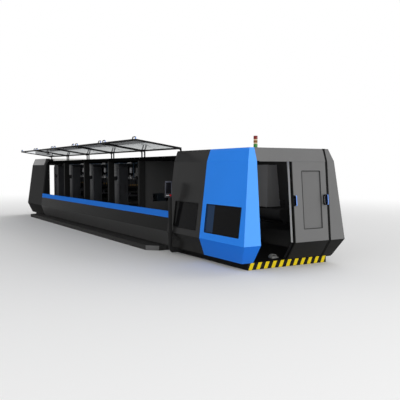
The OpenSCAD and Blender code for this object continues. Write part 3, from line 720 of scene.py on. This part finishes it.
def grow(name, tree, points, finish, body="line", sizes=None, edges=()):
    """Runs a tree on some points and keeps the result as a plain mesh on a body."""
    seed = bpy.data.meshes.new(name + "_points")
    seed.from_pydata([tuple(p) for p in points], list(edges), [])
    made = add_object(name, seed)
    modifier = made.modifiers.new("grow", "NODES")
    modifier.node_group = tree
    values = {"Finish": finishes[finish], **(sizes or {})}
    for item in tree.interface.items_tree:
        if item.in_out == "INPUT" and item.name in values:
            modifier[item.identifier] = values[item.name]
    ready = bpy.context.evaluated_depsgraph_get()
    mesh = bpy.data.meshes.new_from_object(made.evaluated_get(ready), depsgraph=ready)
    made.modifiers.remove(modifier)
    made.data = mesh
    mesh.name = name
    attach(made, body)
    print(name, "grew to", len(mesh.polygons), "faces on", body)


# %% [markdown]
# ## Hazard stripes under the head
# A forklift driver has to see the nose of the machine, so the base below it carries
# slanted yellow stripes on black. They are strips of tape on a kick plate. The tree
# lays thin slabs along a line and shears each one, which is simpler than cutting
# parallelograms out of one long sheet.

# %% The kick plate
BASE_FACE, PLATE_FACE, BASE_HALF = 7.950, 7.968, 1.015
one_box("kick_plate", (BASE_FACE, -BASE_HALF, 0.003), (PLATE_FACE, BASE_HALF, 0.1245), 0.002,
        "frame_black", "dark_paint")

# %% The stripes
def tape(name, colour):
    """Worn tape: its colour rubs through and gathers dirt."""
    sheet, place = new_finish(name)
    scuff = sheet.noise(place, 30.0, 8.0, 0.75)
    dirt = sheet.noise(place * (1.0, 1.0, 3.0), 9.0, 4.0, 0.6)
    base = sheet.blend(scuff.between(0.60, 0.66) * 0.7, colour, ink(70, 64, 30))
    sheet.principled({
        "Base Color": sheet.blend(dirt * 0.25, base, ink(90, 84, 50)),
        "Roughness": 0.4 + dirt * 0.2, "Specular IOR Level": 0.15, "Normal": sheet.bump(scuff, 0.0002),
    })


tape("stripe_yellow", ink(232, 204, 8))
STRIPES, STRIPE_H, STRIPE_LOW, FIRST_IN, BOTH_IN, TAPE_T = 11, 0.136, 0.006, 0.083, 0.165, 0.0016
sheet, given = new_tree("stripes", {
    "Stripe width": 0.088, "Height": STRIPE_H, "Lean": 0.062, "Thickness": TAPE_T})
slab = sheet.node("GeometryNodeMeshCube", {
    "Size": sheet.vector(X=given["Thickness"], Y=given["Stripe width"], Z=given["Height"])})
up_slab = sheet.node("GeometryNodeInputPosition").part("Z") / given["Height"]
leaning = sheet.node("GeometryNodeSetPosition", {
    "Geometry": slab, "Offset": sheet.vector(Y=up_slab * given["Lean"])})
stripes = close_tree(sheet, scatter(sheet, given, leaning), given)
stripe_pitch = (2 * BASE_HALF - BOTH_IN) / (STRIPES - 1)
stripe_points = [
    (PLATE_FACE + TAPE_T / 2, -BASE_HALF + FIRST_IN + i * stripe_pitch, STRIPE_LOW + STRIPE_H / 2)
    for i in range(STRIPES)
]
grow("hazard_stripes", stripes, stripe_points, "stripe_yellow")

# %% [markdown]
# ## Window gaskets
# Each window sits in a black rubber bead. The bead follows the window's outline round
# its corners, so the tree turns the outline into a curve, rounds its corners and draws
# a round section along it. A bead of about 20 mm is what such panels use.

# %% The beads
def corners(a, b, low, high):
    """The corners of a window from a to b, each with its height."""
    return (a, low), (b, low), (b, high), (a, high)


def ring_edges(start=0):
    """The edges between four corners, from the first one's number."""
    return [(start + i, start + (i + 1) % 4) for i in range(4)]


bead = tube_tree("bead", 0.009, 0.012, 5, 10, False)
WIN_LOW, WIN_HIGH = 0.655, 1.240
bead_points, bead_edges = [], []
for sign in (-1, 1):
    for x1, length in SIDE_WINDOWS:
        bead_edges += ring_edges(len(bead_points))
        for x, z in corners(x1, x1 - length, WIN_LOW, WIN_HIGH):
            bead_points.append((x, sign * (side_at(z) - 0.002), z))
grow("window_beads", bead, bead_points, "seal_rubber", edges=bead_edges)

LEAF_IN, LEAF_WIN_Y, LEAF_WIN_W, LEAF_WIN_LOW, LEAF_WIN_HIGH = 0.006, 0.205, 0.490, 0.770, 1.940
leaf_points = [
    (end_at(z) - LEAF_IN - SKIN, y, z)
    for y, z in corners(LEAF_WIN_Y, LEAF_WIN_Y + LEAF_WIN_W, LEAF_WIN_LOW, LEAF_WIN_HIGH)
]
grow("leaf_bead", bead, leaf_points, "bead_rubber", "outer_leaf",
     {"Tube radius": 0.008, "Bend radius": 0.015}, ring_edges())

# %% [markdown]
# ## Seals and handles of the sliding leaves
# A rubber profile wraps the leading edge of the outer leaf, so that the leaf closes
# softly against the corner. It is a thin folded strip on two planes of the leaf. The
# pull handles are black loops, and each has a bright blue cover on its plate, which is
# what the eye finds first on the grey door.

# %% Seals and header strip
LEAF_Y0, LEAF_Y1, LEAF_LOW, LEAF_HIGH, LEAF_T = -0.060, 0.850, 0.150, 2.135, 0.052
SEAL_HEIGHTS, SEAL_PROUD, SEAL_LAP = (LEAF_LOW + 0.004, WAIST_H, LEAF_HIGH - 0.004), 0.002, 0.003


def profile_at(y):
    """A frame at y for an outline in X and Z that is made deep towards the near side."""
    return axes((0, y, 0), (1, 0, 0), (0, 0, 1), (0, -1, 0))


seal = Part("leaf_seal")
for out, deep in ((0.028, 0.001), (0.001, LEAF_T - 0.004)):
    outline = [(end_at(z) - (LEAF_IN - SEAL_PROUD), z) for z in SEAL_HEIGHTS]
    outline += [(end_at(z) - (LEAF_IN + deep), z) for z in reversed(SEAL_HEIGHTS)]
    seal.prism(outline, out + SEAL_LAP, profile_at(LEAF_Y0 + out))
seal.done("seal_rubber", "black_seal", "outer_leaf", smooth=False)

one_box("roof_seal", (end_at(ROOF_H) - 0.03, LEAF_Y1, 2.352), (end_at(2.36) + SKIN, 0.910, 2.403),
        0.003, "seal_rubber", "black_seal")
one_box("header_strip", (-0.845, -0.007, -0.005), (LEAF_Y1, 0.006, -0.0002), 0.0008,
        "door_grey", "grey_paint", wall_frame("end", LEAF_HIGH), smooth=False)

# %% Blue covers on the door handles
HANDLE_MID, LOOP_H = 1.345, 0.215
covers = Part("handle_covers")
for y in (LEAF_Y0 + 0.045, LEAF_Y1 - 0.025):
    covers.box((0.002, 0.004 - LOOP_H / 2, 0.004 - LEAF_IN), (0.026, LOOP_H / 2 - 0.004, 0.058 - LEAF_IN),
               0.006, wall_frame("end", HANDLE_MID, y), 3)
covers.done("handle_blue", "rail_blue", "outer_leaf")

# %% [markdown]
# ## The foot switch
# Just inside the doorway stands a small foot switch, so that the operator keeps both
# hands free. A cast base, a tilted pedal and a hood over it make it up. The hood is an
# arch drawn as an outline and given its length, because a box would hide the pedal.

# %% Foot switch
SWITCH_X, SWITCH_Y, HOOD_L = 7.690, -0.175, 0.0744
half_w, half_l = 0.090, 0.060
pedal = Part("foot_switch")
at_switch = axes((SWITCH_X, SWITCH_Y, PLINTH_H), (0, 1, 0), (-1, 0, 0), (0, 0, 1))
pedal.box((-half_w, -half_l, 0.0003), (half_w, half_l, 0.022), 0.005, at_switch)
tilt = at_switch @ Matrix.Translation((0, -0.004, 0.040)) @ Matrix.Rotation(math.radians(14), 4, "X")
pedal.box((-half_w + 0.030, -half_l + 0.014, -0.006), (half_w - 0.030, half_l - 0.022, 0.006), 0.004, tilt)
arch = [(math.cos(math.pi * i / 14), math.sin(math.pi * i / 14)) for i in range(15)]
hood = [(c * half_w, 0.020 + s * 0.062) for c, s in arch]
hood += [(c * (half_w - 0.010), 0.020 + s * 0.053) for c, s in reversed(arch)]
pedal.prism(hood, HOOD_L, at_switch @ profile_at(half_l))
pedal.done("switch_grey", "light_paint")

# %% [markdown]
# ## Covers on the guard grips
# Each lift-up guard has two arched grips on its outer bar. Their right leg carries the
# same blue cover as the door handles. A cover has to move with its guard, so each guard
# gets its own piece, drawn in the guard's open place: the frame below starts at the
# inner edge of the guard and runs outwards along it.

# %% Grip covers
HEAD_X, PITCH, BAYS = 5.080, 2.220, 5
GUARD_RISE = math.radians(8.5)
GUARD_DEEP, GUARD_T, GUARD_GAP, GRIP_W, GRIP_H, GRIP_IN = 1.210, 0.040, 0.050, 0.190, 0.056, 0.010
rise_cos, rise_sin = math.cos(GUARD_RISE), math.sin(GUARD_RISE)
guard_frame = axes((0, -0.880, 2.452), (1, 0, 0), (0, rise_cos, -rise_sin), (0, rise_sin, rise_cos))


def bay_edge(i):
    return HEAD_X - PITCH * i


for i in range(1, BAYS + 1):
    x0, x1 = bay_edge(i) + GUARD_GAP + GRIP_IN, bay_edge(i - 1) - GUARD_GAP - GRIP_IN
    grips = Part(f"grip_covers_{i}")
    for right in (x0 + GRIP_W, x1):
        grips.box((right - 0.020, -GUARD_DEEP - 0.003, GUARD_T + 0.002),
                  (right + 0.004, -GUARD_DEEP + 0.020, GUARD_T + GRIP_H - 0.018), 0.006, guard_frame)
    grips.done("handle_blue", "rail_blue", f"guard_row_{i}")

# %% [markdown]
# ## The operator panel
# A box on a floor post holds a screen, a row of buttons and the red stop button. The
# CAD box has the size and place; this piece adds the bezel, the screen behind it and
# the buttons on the face that looks at the operator.

# %% Screen and buttons
panel_low, panel_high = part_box("pendant_panel")
face_x = panel_high.x
py0, py1, pz0, pz1 = panel_low.y, panel_high.y, panel_low.z, panel_high.z
RIM, SCREEN_LOW, SCREEN_TOP = 0.014, 0.088, 0.030

bezel = Part("panel_bezel")
for y0, y1, z0, z1, out, bevel in (
    (py0, py1, pz1 - SCREEN_TOP, pz1 + 0.002, 0.012, 0.003),
    (py0, py1, pz0, pz0 + 0.012, 0.010, 0.003),
    (py0, py0 + RIM, pz0, pz1, 0.010, 0.003),
    (py1 - RIM, py1, pz0, pz1, 0.010, 0.003),
    (py0, py1, pz0 + 0.078, pz0 + SCREEN_LOW, 0.009, 0.002),
):
    bezel.box((face_x - 0.002, y0, z0), (face_x + out, y1, z1), bevel)
bezel.done("bezel_grey", "light_paint")
one_box("panel_screen", (face_x - 0.001, py0 + RIM, pz0 + SCREEN_LOW),
        (face_x + 0.004, py1 - RIM, pz1 - SCREEN_TOP), 0.001, "screen_black", "dark_glass")

to_operator = axes((face_x, 0, 0), (0, 1, 0), (0, 0, 1), (1, 0, 0))
buttons = Part("panel_buttons")
button_z = pz0 + 0.045
for k in range(3):
    buttons.turned([(0, 0), (0.0135, 0), (0.0135, 0.004), (0.0105, 0.006), (0.0105, 0.011),
                    (0.009, 0.013), (0, 0.013)],
                   to_operator @ Matrix.Translation((py0 + 0.032 + 0.030 * k, button_z, 0)), 20)
buttons.done("button_white", "lamp_plastic")

stop = Part("stop_button")
stop.turned([(0, 0), (0.024, 0), (0.024, 0.003), (0.012, 0.004), (0.012, 0.018), (0.020, 0.019),
             (0.0215, 0.024), (0.019, 0.030), (0.011, 0.033), (0, 0.034)],
            to_operator @ Matrix.Translation((py1 - 0.034, button_z, 0)))
stop.done("stop_red", "lamp_plastic")

# %% [markdown]
# ## The tower light
# The tower light tells the crew the state of the line from far off. It is a stack of
# three coloured lenses with pale rings between them. Turning one profile for each
# colour is quick, and the grooves between the lenses make the stack readable.

# %% Lenses and rings
lamp_low, lamp_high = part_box("tower_light")
lamp_x, lamp_y = (lamp_low.x + lamp_high.x) / 2, (lamp_low.y + lamp_high.y) / 2
LAMP_R, RING_IN = 0.040, 0.003


def lamp_ring(name, z0, z1, r, finish):
    part, cut = Part(name), 0.003
    part.turned([(0, z0), (r - cut, z0), (r, z0 + cut), (r, z1 - cut), (r - cut, z1), (0, z1)],
                Matrix.Translation((lamp_x, lamp_y, 0)))
    return part.done(finish, "lamp_plastic")


lamp_base = lamp_ring("tower_base", ROOF_H, ROOF_H + 0.006, LAMP_R + 0.002, "frame_black")
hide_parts("tower_light")
level = ROOF_H + 0.0058
for name, tall, inset, finish in (
    ("tower_green", 0.064, 0, "lens_green"), ("tower_ring_1", 0.024, RING_IN, "ring_pale"),
    ("tower_amber", 0.046, 0, "lens_amber"), ("tower_ring_2", 0.022, RING_IN, "ring_pale"),
    ("tower_red", 0.068, 0, "lens_red"),
):
    lamp_ring(name, level, level + tall, LAMP_R - inset, finish)
    level += tall - 0.0002
print("tower light reaches", round(level, 3), "m; CAD top is", round(lamp_high.z, 3))

# %% [markdown]
# ## Bolts
# Bolts hold the stands to the bed, the caps to the crossheads and the gearboxes shut.
# There are nearly three hundred, all alike: a washer and a hex head. The tree sets one
# on each point, turns it to face the way it is told, and gives each its own turn with
# a fixed seed, because nobody tightens bolts to the same angle.

# %% The bolt tree
ROOT_3 = 1.732
sheet, given = new_tree("bolts", {
    "Across flats": 0.036, "Head height": 0.018, "Washer radius": 0.026, "Facing": (0, 0, 1), "Seed": 7})
washer_t = given["Head height"] * 0.2
washer = drum(sheet, 14, given["Washer radius"], washer_t)
head = drum(sheet, 6, given["Across flats"] / ROOT_3, given["Head height"])
head = moved(sheet, head, Translation=sheet.vector(Z=given["Head height"] * 0.5 + washer_t * 0.5))
turn = sheet.node("FunctionNodeAlignRotationToVector", {"Vector": given["Facing"]}, axis="Z")
placed = scatter(sheet, given, joined(sheet, washer, head), turn)
spin = sheet.node("FunctionNodeRandomValue", {
    "Min": 0.0, "Max": 1.04, "Seed": given["Seed"]}, 1, data_type="FLOAT")
twist = sheet.node("FunctionNodeAxisAngleToRotation", {"Axis": (0.0, 0.0, 1.0), "Angle": spin})
placed = sheet.node("GeometryNodeRotateInstances", {"Instances": placed, "Rotation": twist})
bolts = close_tree(sheet, placed, given)


def bolt_row(name, points, facing, flats=0.030, seed=7):
    grow(name, bolts, points, "bolt_steel", sizes={
        "Across flats": flats, "Head height": flats * 0.62, "Washer radius": flats * 0.8,
        "Facing": facing, "Seed": seed})


# %% Bolts on the stands
STAND_X = [0.640, -1.580, -3.800, -5.620]
BED_H, FOOT_H, STAND_TOP, PASS_H = 0.450, 0.090, 2.130, 1.200
HOUSING_T, HOUSING_LEN, FOOT_OUT = 0.290, 0.620, 0.032
CAP_HALF, FACE_HALF, GEAR_HALF = 0.190, 0.235, 0.245
foot_points = [
    (x + e * (HOUSING_LEN / 2 + FOOT_OUT), STAND_Y + s * (BARREL + k * HOUSING_T), BED_H + FOOT_H + 0.003)
    for x in STAND_X for s in (-1, 1) for k in (0.25, 0.75) for e in (-1, 1)
]
cap_points = [
    (x + e * CAP_HALF, STAND_Y + s * (BARREL + k * HOUSING_T), STAND_TOP)
    for x in STAND_X for s in (-1, 1) for e in (-1, 1) for k in (0.2, 0.8)
]
face_points = [
    (x + e * FACE_HALF, STAND_Y - BARREL - HOUSING_T, z)
    for x in STAND_X for e in (-1, 1) for z in (0.72, 0.95, 1.55, 1.75, 1.95)
]
bolt_row("foot_bolts", foot_points, (0, 0, 1), 0.034)
bolt_row("cap_bolts", cap_points, (0, 0, 1), seed=11)
bolt_row("face_bolts", face_points, (0, -1, 0), 0.026, seed=5)

# %% Bolts on the gearboxes and screws on the far panels
drive_face, SCREW_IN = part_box("drives")[1].y, 0.040
gear_points = [
    (x + e * GEAR_HALF, drive_face + 0.0005, z)
    for x in STAND_X for e in (-1, 1) for z in (0.55, 0.80, 1.05, 1.30)
]
screw_points = [
    (x, side_at(z) - 0.006, z)
    for i in range(1, BAYS + 1)
    for x in (bay_edge(i) + SCREW_IN, (bay_edge(i) + bay_edge(i - 1)) / 2, bay_edge(i - 1) - SCREW_IN)
    for z in (1.015, 2.165)
]
bolt_row("gear_bolts", gear_points, (0, 1, 0), seed=3)
bolt_row("panel_screws", screw_points, tuple(wall_frame("far", 1.5).col[2][:3]), 0.016, seed=9)

# %% [markdown]
# ## Coolant pipes and spray nozzles
# Rolling heats the strip, so every stand has a spray header above its entry guide. One
# pipe runs along the tops of the stands and drops to each header. Pipes are swept
# circles, made by the same tree as the beads: it gives round bends without counting
# vertices. The nozzles are brass, six to a header, and point down at the strip.

# %% Pipes
PIPE_Z, HEADER_X, HEADER_TOP = 2.163, 0.220, PASS_H + 0.460
FEED_X, FEED_Y = 2.60, 0.80
pipe_points, pipe_edges = [], []


def pipe_run(corners):
    start = len(pipe_points)
    pipe_points.extend(corners)
    pipe_edges.extend((start + k, start + k + 1) for k in range(len(corners) - 1))


pipe_run([(STAND_X[-1] - 0.30, STAND_Y, PIPE_Z), (FEED_X, STAND_Y, PIPE_Z), (FEED_X, FEED_Y, PIPE_Z),
          (FEED_X, FEED_Y, BED_H)])
for x in STAND_X:
    pipe_run([(x + HEADER_X, STAND_Y, PIPE_Z), (x + HEADER_X, STAND_Y, HEADER_TOP)])
grow("coolant_pipes", tube_tree("pipes", 0.017, 0.06, 6, 16, True), pipe_points, "pipe_blue",
     edges=pipe_edges)

fittings = Part("pipe_fittings")
for x in STAND_X:
    fittings.turned([(0, HEADER_TOP), (0.034, HEADER_TOP), (0.034, HEADER_TOP + 0.012),
                     (0.024, HEADER_TOP + 0.014), (0.024, HEADER_TOP + 0.045), (0, HEADER_TOP + 0.045)],
                    Matrix.Translation((x + HEADER_X, STAND_Y, 0)))
    fittings.box((x - 0.020, STAND_Y - 0.034, STAND_TOP), (x + 0.020, STAND_Y + 0.034, PIPE_Z + 0.020),
                 0.004)
fittings.done("bolt_steel", "roll_steel")

# %% Nozzles
NOZZLES, NOZZLE_PITCH, NOZZLE_Z = 6, 0.076, PASS_H + 0.3005
sheet, given = new_tree("nozzles", {"Hex": 0.028, "Length": 0.036})
hexagon = drum(sheet, 6, given["Hex"] / ROOT_3, given["Length"] * 0.5)
hexagon = moved(sheet, hexagon, Translation=sheet.vector(Z=given["Length"] * -0.25))
tip = sheet.node("GeometryNodeMeshCone", {
    "Vertices": 12, "Radius Bottom": given["Hex"] * 0.42, "Radius Top": given["Hex"] * 0.24,
    "Depth": given["Length"] * 0.55}, fill_type="NGON")
tip = moved(sheet, tip, Translation=sheet.vector(Z=given["Length"] * -1.02), Scale=(1.0, 1.0, -1.0))
nozzles = close_tree(sheet, scatter(sheet, given, joined(sheet, hexagon, tip)), given)
nozzle_points = [
    (x + HEADER_X, STAND_Y + (k - (NOZZLES - 1) / 2) * NOZZLE_PITCH, NOZZLE_Z)
    for x in STAND_X for k in range(NOZZLES)
]
grow("nozzles", nozzles, nozzle_points, "brass")

# %% [markdown]
# ## Treads and end plates of the steps
# The crew stands on the side steps, so their tops carry raised lozenges against
# slipping. The tree sets them in two crossed directions from one seed of points; the
# index of each point decides which way it lies. At the head end each step is closed by
# a bare grey plate across its cut corner.

# %% Tread lozenges
sheet, given = new_tree("lozenges", {"Length": 0.046, "Width": 0.016, "Height": 0.003, "Angle": 0.785})
flat = sheet.node("GeometryNodeMeshCone", {
    "Vertices": 4, "Radius Bottom": 0.5, "Radius Top": 0.34, "Depth": 1.0}, fill_type="NGON")
flat = moved(sheet, flat, Scale=sheet.vector(X=given["Length"], Y=given["Width"], Z=given["Height"]))
index = sheet.node("GeometryNodeInputIndex")
odd = sheet.node("ShaderNodeMath", {0: index, 1: 2.0}, operation="MODULO")
turn = sheet.vector(Z=(odd * 2 - 1) * given["Angle"])
lozenges = close_tree(sheet, scatter(sheet, given, flat, turn), given)

step_low, step_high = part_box("steps")
STEP_CUT, STEP_Y0, TREAD_PITCH, ROW_PITCH, ROWS = 0.250, 1.015, 0.065, 0.062, 8
columns = int((step_high.x - STEP_CUT - 0.08 - step_low.x) / TREAD_PITCH)
tread_points = [
    (step_low.x + 0.05 + i * TREAD_PITCH + (j % 2) * TREAD_PITCH / 2,
     side * (STEP_Y0 + 0.045 + j * ROW_PITCH), step_high.z + 0.0008)
    for side in (-1, 1) for i in range(columns) for j in range(ROWS)
]
grow("step_treads", lozenges, tread_points, "step_charcoal")

# %% End plates
plates = Part("step_end_plates")
slant = math.sqrt(0.5)
half_len = STEP_CUT / slant / 2 - 0.004
for side in (-1, 1):
    middle = (step_high.x - STEP_CUT / 2, side * (abs(step_low.y) - STEP_CUT / 2), 0)
    across = axes(middle, (-side * slant, slant, 0), (0, 0, 1), (slant, side * slant, 0))
    plates.box((-half_len, 0.003, -0.001), (half_len, step_high.z - 0.003, 0.003), 0.001, across)
plates.done("plate_grey", "light_paint")

# %% [markdown]
# ## Seams of the long roof
# The roof over the bays is laid in five sheets. A low cap with two rows of screws
# covers each joint, and a folded flashing closes the step up to the roof of each
# housing, so that nothing falls on the rolls. Caps and flashings are flat strips, so
# bevelled boxes do, and the bolt tree sets the screws.

# %% Caps, flashings and screws
roof_top, CAP_W, CAP_T, SCREWS, SCREW_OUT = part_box("mid_roof")[1].z, 0.080, 0.005, 14, 0.026
cap_near, cap_far = -0.780, side_at(roof_top) - 0.040
caps, screw_rows = Part("roof_caps"), []
for i in range(1, BAYS):
    x = bay_edge(i)
    caps.box((x - CAP_W / 2, cap_near, roof_top - SKIN), (x + CAP_W / 2, cap_far, roof_top + CAP_T), 0.0015)
    for k in range(SCREWS):
        y = cap_near + (k + 0.5) * (cap_far - cap_near) / SCREWS
        screw_rows += [(x + e * SCREW_OUT, y, roof_top + CAP_T) for e in (-1, 1)]
caps.done("cap_pale", "light_paint")
bolt_row("roof_screws", screw_rows, (0, 0, 1), 0.014, seed=13)
flash = Part("roof_flashings")
for x, way in ((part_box("head_roof")[0].x, -1), (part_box("tail_roof")[1].x, 1)):
    for out, top in ((0.004, ROOF_H - 0.002), (0.060, roof_top + 0.004)):
        end = x + way * out
        flash.box((min(x, end), cap_near, roof_top - SKIN), (max(x, end), cap_far, top), 0.001)
flash.done("cap_pale", "light_paint")

# %% [markdown]
# ## Camera, floor and light
# The camera stands where the photographer stood: at head height, well off the corner
# of the head housing. The floor is plain and pale, and fades to white far away, so that
# no horizon line cuts the picture. A sky that is brightest near the horizon lights all
# of it, as the walls of a pale hall would. A large soft lamp at the head end makes the
# door brighter than the long side, a wide soft sun from behind the line lays its shadow
# on the floor in front, and a small lamp under the head's roof shows the cabin.

# %% Camera
TURN, PITCH_DOWN, FOCAL_PX, PICTURE_PX = math.radians(30.571), math.radians(3.166), 564.6, 400


def aim(thing, direction):
    thing.rotation_mode = "QUATERNION"
    thing.rotation_quaternion = Vector(direction).to_track_quat("-Z", "Y")


lens = bpy.data.cameras.new("camera")
lens.sensor_width = 36.0
lens.lens = FOCAL_PX * lens.sensor_width / PICTURE_PX
lens.clip_end = 300.0
camera = add_object("camera", lens)
camera.location = (16.890, -7.371, 1.985)
aim(camera, (-math.cos(TURN) * math.cos(PITCH_DOWN), math.sin(TURN) * math.cos(PITCH_DOWN),
             -math.sin(PITCH_DOWN)))
bpy.context.scene.camera = camera
print("lens", round(lens.lens, 2), "mm")

# %% Floor and sky
WHITE, SEEN_FLOOR, UNSEEN_FLOOR = (1.0, 1.0, 1.0, 1.0), (0.88, 0.88, 0.88, 1.0), (0.60, 0.60, 0.60, 1.0)
ZENITH, HORIZON, FADE_FROM, FADE_TO = 0.33, 1.9, 6.5, 24.0


def seen_directly(sheet):
    """1 for rays from the camera and for mirror and glass rays, 0 for the rest."""
    node = sheet.tree.nodes.new("ShaderNodeLightPath")
    rays = [Wire(sheet, node.outputs[n]) for n in ("Is Camera Ray", "Is Glossy Ray", "Is Transmission Ray")]
    return (rays[0] + rays[1] + rays[2]) > 0.5


sheet, place = new_finish("studio_floor")
seen = seen_directly(sheet)
lit = sheet.either(seen, *(
    sheet.node("ShaderNodeBsdfDiffuse", {"Color": tone}) for tone in (UNSEEN_FLOOR, SEEN_FLOOR)))
white = sheet.node("ShaderNodeEmission", {"Color": WHITE, "Strength": 1.0})
away = sheet.node("ShaderNodeVectorMath", {0: place * (0.8, 1.0, 0.0)}, "Value", operation="LENGTH")
sheet.show(sheet.either(away.between(FADE_FROM, FADE_TO) * seen, lit, white))
bpy.ops.mesh.primitive_plane_add(size=160.0)
floor = bpy.context.object
floor.name = "studio_floor"
floor.data.materials.append(finishes["studio_floor"])

world = bpy.data.worlds.new("studio")
bpy.context.scene.world = world
world.use_nodes = True
world.node_tree.nodes.clear()
sheet = Sheet(world.node_tree)
height = sheet.node("ShaderNodeTexCoord", {}, "Generated").part("Z")
glow = (1 - height) * (1 - height) * (height > 0)
sky = sheet.node("ShaderNodeBackground", {"Color": WHITE, "Strength": ZENITH + glow * HORIZON})
backdrop = sheet.node("ShaderNodeBackground", {"Color": WHITE, "Strength": 1.0})
sheet.node("ShaderNodeOutputWorld", {"Surface": sheet.either(seen_directly(sheet), sky, backdrop)})

# %% Lamps
def soft_lamp(name, at, target, size, watts):
    data = bpy.data.lights.new(name, "AREA")
    data.shape, data.size, data.energy = "DISK", size, watts
    lamp = add_object(name, data)
    lamp.location = at
    aim(lamp, Vector(target) - Vector(at))


soft_lamp("head_lamp", (24.0, 1.0, 3.6), (8.0, 0.0, 1.2), 6.0, 780.0)
soft_lamp("cabin_lamp", (7.2, -0.55, 2.17), (5.6, 0.9, 1.4), 0.2, 11.0)
sun = bpy.data.lights.new("far_sun", "SUN")
sun.energy, sun.angle = 0.95, math.radians(55)
aim(add_object("far_sun", sun), (0.25, -0.72, -0.64))
bpy.context.scene.view_settings.view_transform = "Standard"
